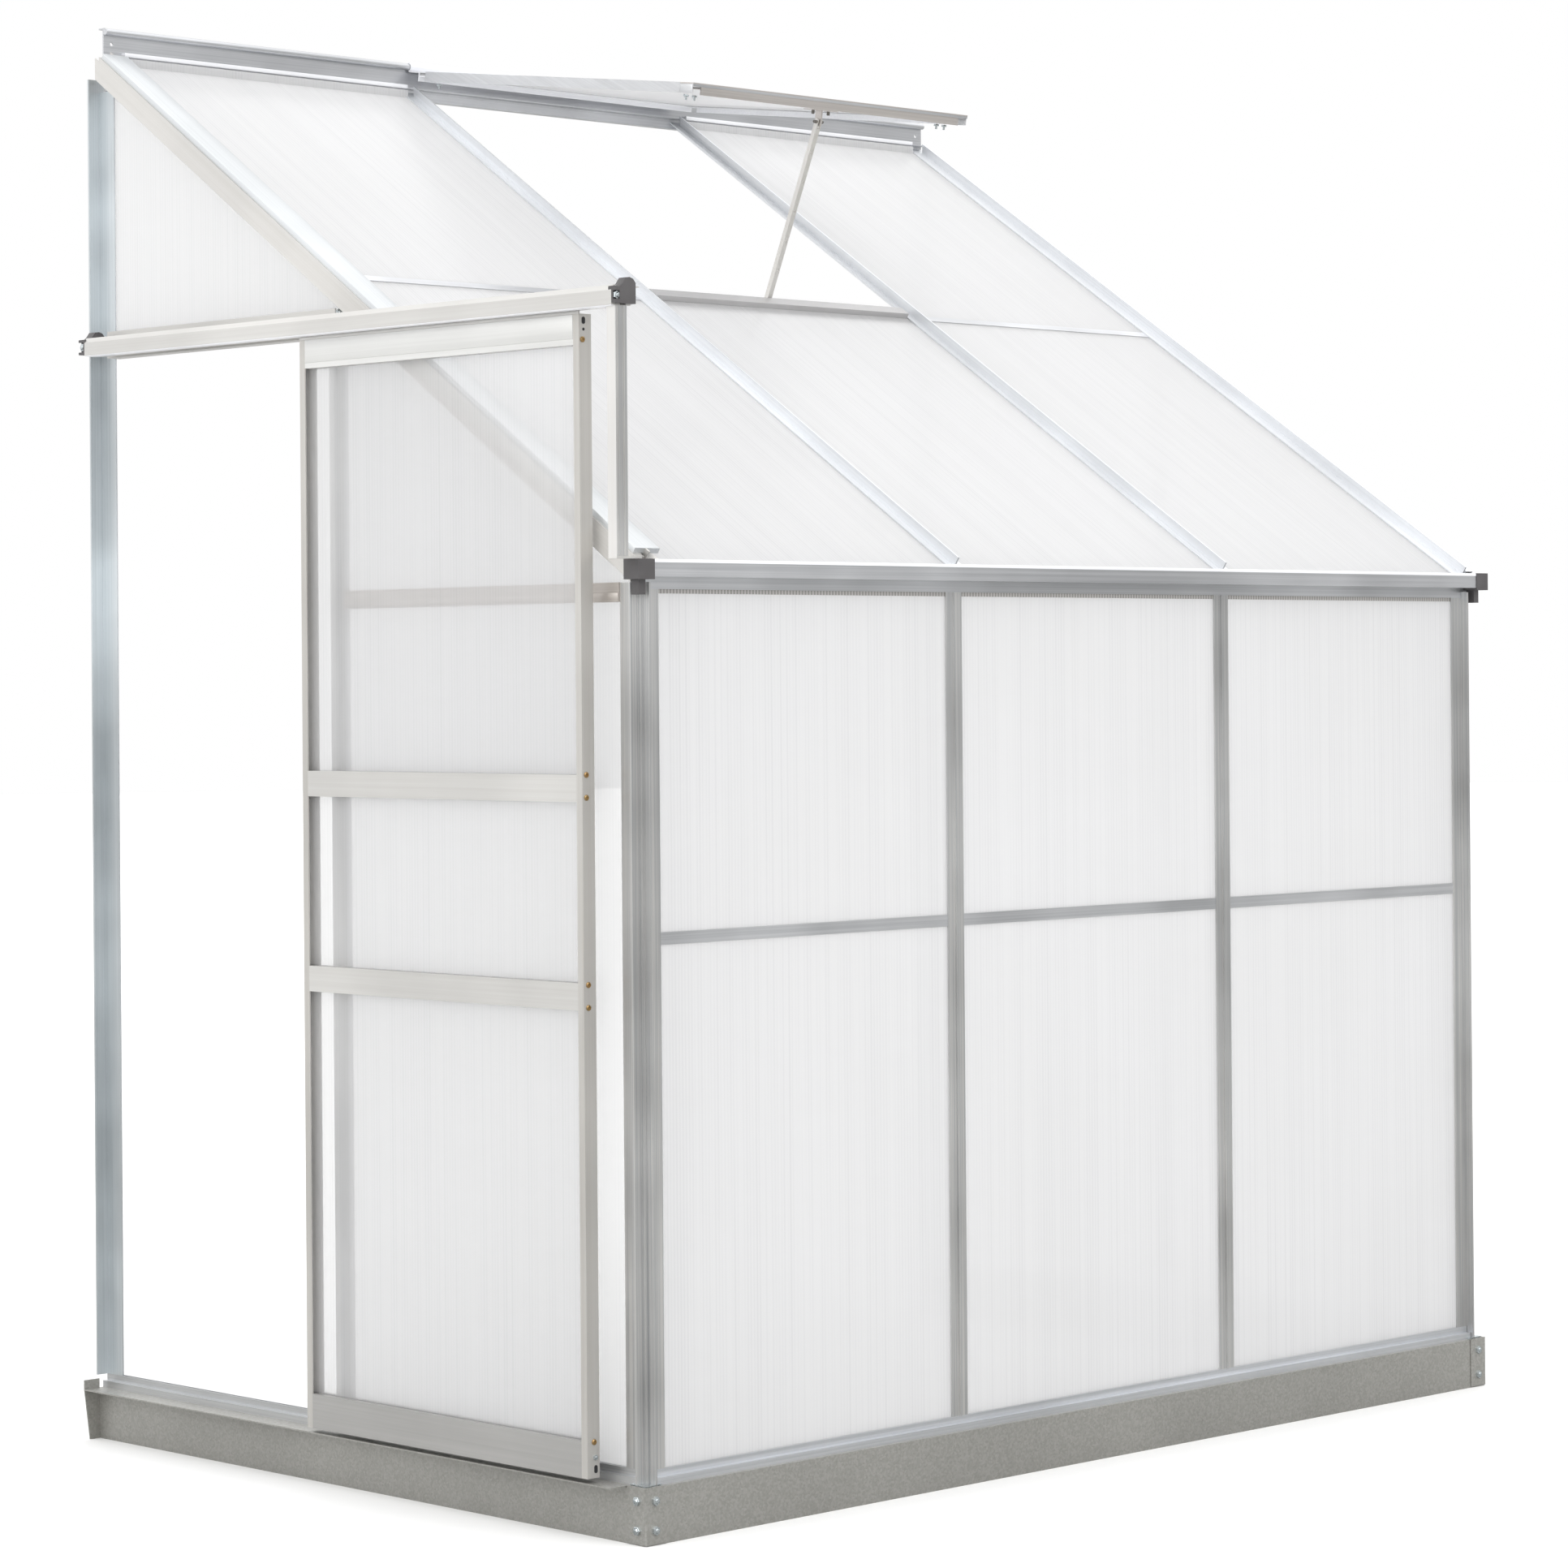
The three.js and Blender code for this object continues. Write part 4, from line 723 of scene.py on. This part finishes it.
def joiner(number, clear_left, clear_right):
    """The joiner of one bay; it ends a little way in from the sides of the sheets."""
    lower, upper = reach(f"front_panel_lower_{number}"), reach(f"front_panel_upper_{number}")
    seam = (lower[1].z + upper[0].z) / 2
    bar = start_block(
        f"front_joiner_{number}",
        at(lower[0].x + clear_left, lower[0].y, seam - joiner_web / 2),
        at(lower[1].x - clear_right, lower[1].y, seam + joiner_web / 2),
    )
    for way in (to_front, to_back):
        flange(bar, way, (1, 1, joiner_height / joiner_web))
    end_piece(bar, lengthwise, "frame")


clear, clear_at_corner = 0.7, 1.7
joiner(1, clear_at_corner, clear)
joiner(2, clear, clear)
joiner(3, clear, clear_at_corner)


# Strips over the joints of the outer roof bays: the same H section, lying in the slope. They mirror the sky
# and hardly stand out from the sheets.
strip_web, strip_width, strip_depth, strip_inset = 3, 15, 4, 1.7
# The rafters' top line starts over the front of the base, at eave height. The joint of the sheets and their
# underside are measured from there, up the slope and square to it.
eave_height = 1336.6
joint_along, sheet_underside = 792, -19.8


def flat(x, along, above):
    """A point of a piece that is laid flat at the origin, in millimetres along the wall, back and up."""
    return Vector((x, along, above)) / 1000


def on_slope(along, above):
    """The point that is so many millimetres up the slope of the roof and above its top line."""
    tilt = math.radians(roof_tilt)
    y = along * math.cos(tilt) - above * math.sin(tilt)
    return at(0, y, eave_height + along * math.sin(tilt) + above * math.cos(tilt))


def lay(block, spot, tilt):
    """Moves a piece from the origin to spot and tilts it, in degrees, about the length of the wall."""
    bpy.ops.object.mode_set(mode="OBJECT")
    block.data.transform(Matrix.Translation(spot) @ Matrix.Rotation(math.radians(tilt), 4, "X"))
    bpy.ops.object.mode_set(mode="EDIT")


for name, node in (("roof_strip_left", "roof_panel_lower_1"), ("roof_strip_right", "roof_panel_lower_3")):
    sheet_low, sheet_high = reach(node)
    strip = start_block(
        name,
        flat(sheet_low.x + strip_inset, -strip_web / 2, 0),
        flat(sheet_high.x - strip_inset, strip_web / 2, strip_depth))
    for way in (to_top, to_floor):
        flange(strip, way, (1, strip_width / strip_web, 1))
    lay(strip, on_slope(joint_along, sheet_underside), roof_tilt)
    end_piece(strip, lengthwise, "frame")


# Cover of the near gable rafter: a flat strip clipped over its grooved inner half, from the gutter to the
# wall bar. Extruded aluminium, so it hides the grooves and shows one plain pale band.
rafter_top = extruded(
    "mill_finish_aluminium_rafter_top", "y", "#CED1D3", "#DADDDF", slope=roof_tilt, shine=0.5)
cover_start, cover_end, cover_bottom, cover_top = 14, 1462, -7.9, 0.3
rafter_low, rafter_high = reach("rafter_gable_left")
rafter_cover = start_block(
    "rafter_cover",
    flat(rafter_low.x + 3, cover_start, cover_bottom), flat(rafter_high.x - 0.2, cover_end, cover_top))
round_edges(rafter_cover, lambda e: run(e, "y") > 100 and borders(e, to_top), radius=0.6, steps=2)
lay(rafter_cover, on_slope(0, 0), roof_tilt)
end_piece(rafter_cover, rafter_top, "frame")


# Noses of the wall bar: rounded edges on its lower lip over the two outer bays, rolled up from the lip. They
# are painted paler than the bar, as painted light where they face the lamps. Below each a milky strip seals
# the end of the sheet.
wall_bar = reach("ridge_bar")[0]
vent_low, vent_high = reach("vent_front_rail")
from_rafter, from_vent = 1, 7
for side, start, end in (
    ("left", rafter_high.x + from_rafter, vent_low.x - from_vent),
    ("right", vent_high.x + from_vent, reach("rafter_gable_right")[0].x - from_rafter),
):
    nose = start_block(
        f"wall_bar_nose_{side}",
        at(start, wall_bar.y - 0.6, wall_bar.z + 16.5), at(end, wall_bar.y + 9.8, wall_bar.z + 23.3))
    round_edges(nose, lambda e: run(e, "x") > 100 and borders(e, to_front), radius=1.6, steps=3)
    end_piece(nose, painted_light_aluminium, "frame")
    seal = start_block(
        f"wall_bar_seal_{side}",
        at(start, wall_bar.y - 1.5, wall_bar.z + 1.2), at(end, wall_bar.y - 0.7, wall_bar.z + 14.3))
    round_edges(seal, lambda e: run(e, "x") > 100 and borders(e, to_front), radius=0.3, steps=2)
    end_piece(seal, milky_front, "frame")


# Lip of the gutter: the rolled upper edge of the eave beam, folded back on itself. It is painted brighter
# than
# the face of the beam: a painted reflection of the sky on its round top.
lip_sheet, lip_below, lip_above = 2.5, 1.4, 4.3
beam_low, beam_high = reach("eave_beam")
gutter_lip = start_block(
    "gutter_lip",
    at(beam_low.x, beam_low.y + 0.1, beam_high.z - lip_below),
    at(beam_high.x, beam_low.y + 0.1 + lip_sheet, beam_high.z + lip_above))
round_edges(gutter_lip, lambda e: run(e, "x") > 100 and borders(e, to_top), radius=1.15, steps=4)
end_piece(gutter_lip, painted_light_aluminium, "frame")


# Front edge of the vent: a rolled nose along the flange of the front rail, and at each end a strip that
# carries the side rail on to the corner. Extruded aluminium, grey beside the warmer rail behind it.
vent_length, vent_tilt = 692, 7.35
hinge = at(0, 1236, 2177)


def on_vent(x, out, up):
    """The point x millimetres along the wall, out from the vent's hinge and up from its plane, laid flat."""
    return flat(x, -out, up)


vent_nose = start_block(
    "vent_front_nose",
    on_vent(vent_low.x + 0.2, vent_length - 0.1, -12.4), on_vent(vent_high.x - 0.2, vent_length - 1.6, -7.1))
round_edges(vent_nose, lambda e: run(e, "x") > 100, radius=0.6, steps=3)
lay(vent_nose, hinge, vent_tilt)
end_piece(vent_nose, lengthwise, "vent")
corner_sheet = 1.5
for name, start in (
    ("vent_corner_left", vent_low.x + 0.2),
    ("vent_corner_right", vent_high.x - 0.2 - corner_sheet),
):
    corner = start_block(
        name,
        on_vent(start, vent_length - 1.7, -23), on_vent(start + corner_sheet, vent_length - 31, -8.6))
    round_edges(corner, lambda e: run(e, "x") < 0.1, radius=0.5, steps=2)
    lay(corner, hinge, vent_tilt)
    end_piece(corner, vent_sloping, "vent")


# Nuts under the vent: small hexagon nuts, zinc-plated like the bolts and screwed on to the ends that come
# through the rails. Two sit at each front corner, and one at the left end of the hinge rail.
nut = start_round("nut_model", sides=6, radius=4.4, height=3.4)
round_edges(nut, lambda e: run(e, "z") < 0.1, radius=0.4, steps=2)
pick(nut, "faces", lambda f: looks(f, to_top))
draw_in(1.8)
draw_out(to_top, 5)
soften(radius=0.3, steps=2)
end_model(nut, plated)
tilted = Matrix.Rotation(math.radians(vent_tilt), 4, "X")
hanging = tilted @ to_floor
rail_underside = -24.5
front_out = vent_length - 34
nut_places = (
    (vent_low.x + 18, front_out), (vent_low.x + 36, front_out),
    (vent_high.x - 36, front_out), (vent_high.x - 18, front_out),
    (vent_low.x + 19, 60),
)
for number, (x, out) in enumerate(nut_places, 1):
    spot = hinge + tilted @ on_vent(x, out, rail_underside)
    copy_to(nut, f"vent_nut_{number}", spot, hanging, "vent")
bpy.data.objects.remove(nut)


# Pins of the vent's bracket: turned steel, oiled dark, with clouds of oil 2.5 mm across. Two rivets hold its
# plate; the long one is the pivot that the stay hangs from.
oiled = small_steel(
    "oiled_turned_steel",
    grain=1 / 0.0025, dull="#6A6763", bright="#918D88", shine=0.95, smooth=0.25, rough=0.45)
pin = start_round("pin_model", sides=20, radius=2.6, height=6)
round_edges(pin, lambda e: borders(e, to_top), radius=0.9, steps=3)
end_model(pin, oiled)
stay_low, stay_high = reach("vent_stay")
middle = (stay_low.x + stay_high.x) / 2
rivet_out, pivot_out = vent_length - 13, vent_length - 16.6
for name, x, out, up, facing in (
    ("bracket_rivet_left", middle - 17, rivet_out, -26.5, hanging),
    ("bracket_rivet_right", middle + 17, rivet_out, -26.5, hanging),
    ("stay_pivot_left", middle - 4, pivot_out, -44, to_left),
    ("stay_pivot_right", middle + 4, pivot_out, -44, to_right),
):
    copy_to(pin, name, hinge + tilted @ on_vent(x, out, up), facing, "vent")
bpy.data.objects.remove(pin)


# Top of the front panels: a thin strip just under the beam, toned dark like a comb, one tooth for each rib.
dark_comb_strip, tree = new_material("dark_comb_of_twin_wall_polycarbonate")
place = add(tree, "ShaderNodeTexCoord")
axes = add(tree, "ShaderNodeSeparateXYZ", {"Vector": place.outputs["Object"]})
cells = add(tree, "ShaderNodeMath", {0: axes.outputs["X"], 1: 1 / rib_pitch}, operation="MULTIPLY")
rib = add(tree, "ShaderNodeMath", {0: cells.outputs[0], 1: 0.5}, operation="PINGPONG")
tooth = add(tree, "ShaderNodeMapRange", {
    "Value": rib.outputs[0], "From Min": 0.12, "From Max": 0.3, "To Min": 0.0, "To Max": 1.0,
}, interpolation_type="SMOOTHSTEP")
tone = add(tree, "ShaderNodeMix", {
    0: tooth.outputs["Result"], 6: linear("#ABA9A6"), 7: linear("#868482"),
}, data_type="RGBA")
comb_surface = add(tree, "ShaderNodeBsdfPrincipled", {
    "Base Color": tone.outputs[2], "Roughness": 0.3, "IOR": 1.5,
})
finish_material(tree, comb_surface)
left_post, right_post = reach("front_post_left"), reach("front_post_right")
sheet_front = reach("front_panel_upper_1")[0].y
tuck = 0.1
bays = (
    (reach("corner_post_left")[1].x, left_post[0].x + tuck),
    (left_post[1].x - tuck, right_post[0].x + tuck),
    (right_post[1].x - tuck, reach("corner_post_right")[0].x),
)
for number, (start, end) in enumerate(bays, 1):
    comb = start_block(
        f"front_panel_dark_comb_{number}",
        at(start, sheet_front - 0.5, beam_low.z - 6), at(end, sheet_front + 0.6, beam_low.z + 0.5))
    round_edges(comb, lambda e: True, radius=0.3, steps=2)
    end_piece(comb, dark_comb_strip, "frame")


# Screws of the door: pan heads in the edges of both stiles, one or two driven into each end of a rail, of
# yellow-passivated steel. Passivation gives a brassy colour that drifts to copper over 25 mm or so.
passivated, tree = new_material("yellow_passivated_steel")
place = add(tree, "ShaderNodeTexCoord")
drift = add(tree, "ShaderNodeTexNoise", {
    "Vector": place.outputs["Object"], "Scale": 1 / 0.025, "Detail": 1,
})
tone = add(tree, "ShaderNodeMix", {
    0: drift.outputs["Fac"], 6: linear("#A9976A"), 7: linear("#C79B6B"),
}, data_type="RGBA")
brassy = add(tree, "ShaderNodeBsdfPrincipled", {
    "Base Color": tone.outputs[2], "Metallic": 1.0, "Roughness": 0.32,
})
finish_material(tree, brassy)
# The head tapers to its top, and its recess is as deep as the taper.
screw_taper = 0.9
screw = start_round("screw_model", sides=20, radius=4.0, height=1.2)
pick(screw, "faces", lambda f: looks(f, to_top))
draw_out(to_top, screw_taper)
bpy.ops.transform.resize(value=(0.72, 0.72, 1))
draw_in(1.3)
draw_out(to_floor, screw_taper)
end_model(screw, passivated)
door_front, door_back = stile_low.y, reach("door_stile_far")[1].y
# Heights above the floor, and places across the door's face.
for height, across in ((1629, -22), (1038, -21), (1007, -21), (753, -20), (722, -20), (133, -16)):
    for end, y, facing in (("near", door_front, to_front), ("far", door_back, to_back)):
        name = f"door_screw_{end}_{height}"
        copy_to(screw, name, at(across, y, height), facing, "door")
bpy.data.objects.remove(screw)


# Upper lip of the door's top rail: a thin aluminium strip that closes the gap under the track. It is slid
# into the rail and moves with the door.
door_face = stile_low.x - 0.8
door_lip = start_block(
    "door_top_lip",
    at(door_face, door_front + 0.5, track_bottom - 5.6),
    at(stile_low.x + 2, door_back - 0.5, track_bottom - 0.3))
round_edges(door_lip, lambda e: borders(e, to_top), radius=0.5, steps=2)
end_piece(door_lip, pale_crosswise, "door")


# Slide strip under the track: a thin strip of pale aluminium, slid in along the outer half of the underside;
# its paleness is painted light where the underside would lie in shade.
# It stays clear of the door, which hangs beside it.
slide = start_block(
    "track_slide_strip",
    at(track_low.x + 0.4, near_end + 0.6, track_bottom - 1),
    at(track_low.x + 19.8, far_end - 2.5, track_bottom))
round_edges(slide, lambda e: run(e, "y") > 100 and borders(e, to_floor), radius=0.4, steps=2)
end_piece(slide, painted_light_aluminium, "frame")


# Cover of the door's top rail: a flat strip clipped over the upper part of the rail. Its lower edge makes the
# thin line above the panel.
rail_low, rail_high = reach("door_rail_top")
rail_cover = start_block(
    "door_rail_cover",
    at(door_face, rail_low.y + 0.5, track_bottom - 39),
    at(stile_low.x, rail_high.y - 0.5, track_bottom - 5.8))
round_edges(rail_cover, lambda e: borders(e, to_left), radius=0.4, steps=2)
end_piece(rail_cover, bright_crosswise, "door")


# Bead of the header bar: the lower half of the bar is a separate aluminium strip that grips the panel below.
# It is pressed in from outside and stands a little proud of the bar.
header_low, header_high = reach("gable_header_left")
bead = start_block(
    "gable_header_bead",
    at(header_low.x - 1.2, header_low.y + 0.5, header_low.z + 0.1),
    at(header_low.x, header_high.y - 0.5, header_low.z + 12.7))
round_edges(bead, lambda e: borders(e, to_left), radius=0.5, steps=2)
end_piece(bead, header_finish, "frame")


# Channel in the outrigger: a thin plate on its front face with two upright ribs, a shallow groove between
# them. It is extruded in one with the post, and looks greyer than the post.
outrigger = reach("track_outrigger")[0]
rib_width, rib_height = 2.5, 1.4
ribs = [outrigger.x + place for place in (3.5, 13.5)]
channel = start_block(
    "outrigger_channel",
    at(outrigger.x + 0.4, outrigger.y - 0.8, outrigger.z + 3.5),
    at(outrigger.x + 20.1, outrigger.y, track_bottom - 0.5))
for rib in ribs:
    split(channel, rib)
    split(channel, rib + rib_width)
pick(channel, "faces", lambda f: looks(f, to_front) and any(
    rib < spot_of(f.calc_center_median()).x < rib + rib_width for rib in ribs))
draw_out(to_front, rib_height)
end_piece(channel, upright, "frame")


# Punched holes in the front stile: a slot at the top and at the bottom, and a round hole below the top one,
# left open for the guides. Seen from outside they are dark, with a bright rim: the dark is painted shade on a
# shallow plate, standing in for the depth of the hole.
shadow, tree = new_material("painted_shade_of_a_punched_hole")
place = add(tree, "ShaderNodeTexCoord")
depth = add(tree, "ShaderNodeTexNoise", {"Vector": place.outputs["Object"], "Scale": 1 / 0.002, "Detail": 1})
tone = add(tree, "ShaderNodeMix", {
    0: depth.outputs["Fac"], 6: linear("#1C1C1E"), 7: linear("#3A3A3C"),
}, data_type="RGBA")
dark = add(tree, "ShaderNodeBsdfPrincipled", {"Base Color": tone.outputs[2], "Roughness": 0.9})
finish_material(tree, dark)


def punched(name, across, height, width, tall):
    """A dark hole with rounded ends in the near face of the front stile."""
    hole = start_block(
        name,
        at(across - width / 2, door_front - 0.4, height - tall / 2),
        at(across + width / 2, door_front + 0.4, height + tall / 2))
    # Just under half the width, so that the ends come out round.
    round_edges(hole, lambda e: run(e, "y") > 0.3, radius=width * 0.49, steps=6)
    # Within the rim the hole lies a little deeper.
    pick(hole, "faces", lambda f: looks(f, to_front))
    draw_in(0.6)
    draw_out(to_back, 0.2)
    end_piece(hole, shadow, "door")


punched("door_stile_slot_top", across=-20, height=1655, width=6, tall=10)
punched("door_stile_hole_top", across=-20, height=1643, width=4, tall=4)
punched("door_stile_slot_bottom", across=-13, height=96, width=6, tall=11)


# Door rollers: turned nylon wheels, off-white and waxy, with faint marks of turning 2.5 mm across. Each turns
# on a pin of the door's hangers, inside the track.
nylon, tree = new_material("turned_white_nylon")
place = add(tree, "ShaderNodeTexCoord")
marks = add(tree, "ShaderNodeTexNoise", {"Vector": place.outputs["Object"], "Scale": 1 / 0.0025, "Detail": 2})
tone = add(tree, "ShaderNodeMix", {
    0: marks.outputs["Fac"], 6: linear("#DAD7CC"), 7: linear("#E9E7DF"),
}, data_type="RGBA")
wax = add(tree, "ShaderNodeBsdfPrincipled", {
    "Base Color": tone.outputs[2], "Roughness": 0.4, "IOR": 1.53,
})
relief = add(tree, "ShaderNodeBump", {"Height": marks.outputs["Fac"], "Strength": 0.1, "Distance": 0.0002})
finish_material(tree, wax, relief)
dress(nylon, "door_roller_near", "door_roller_far")
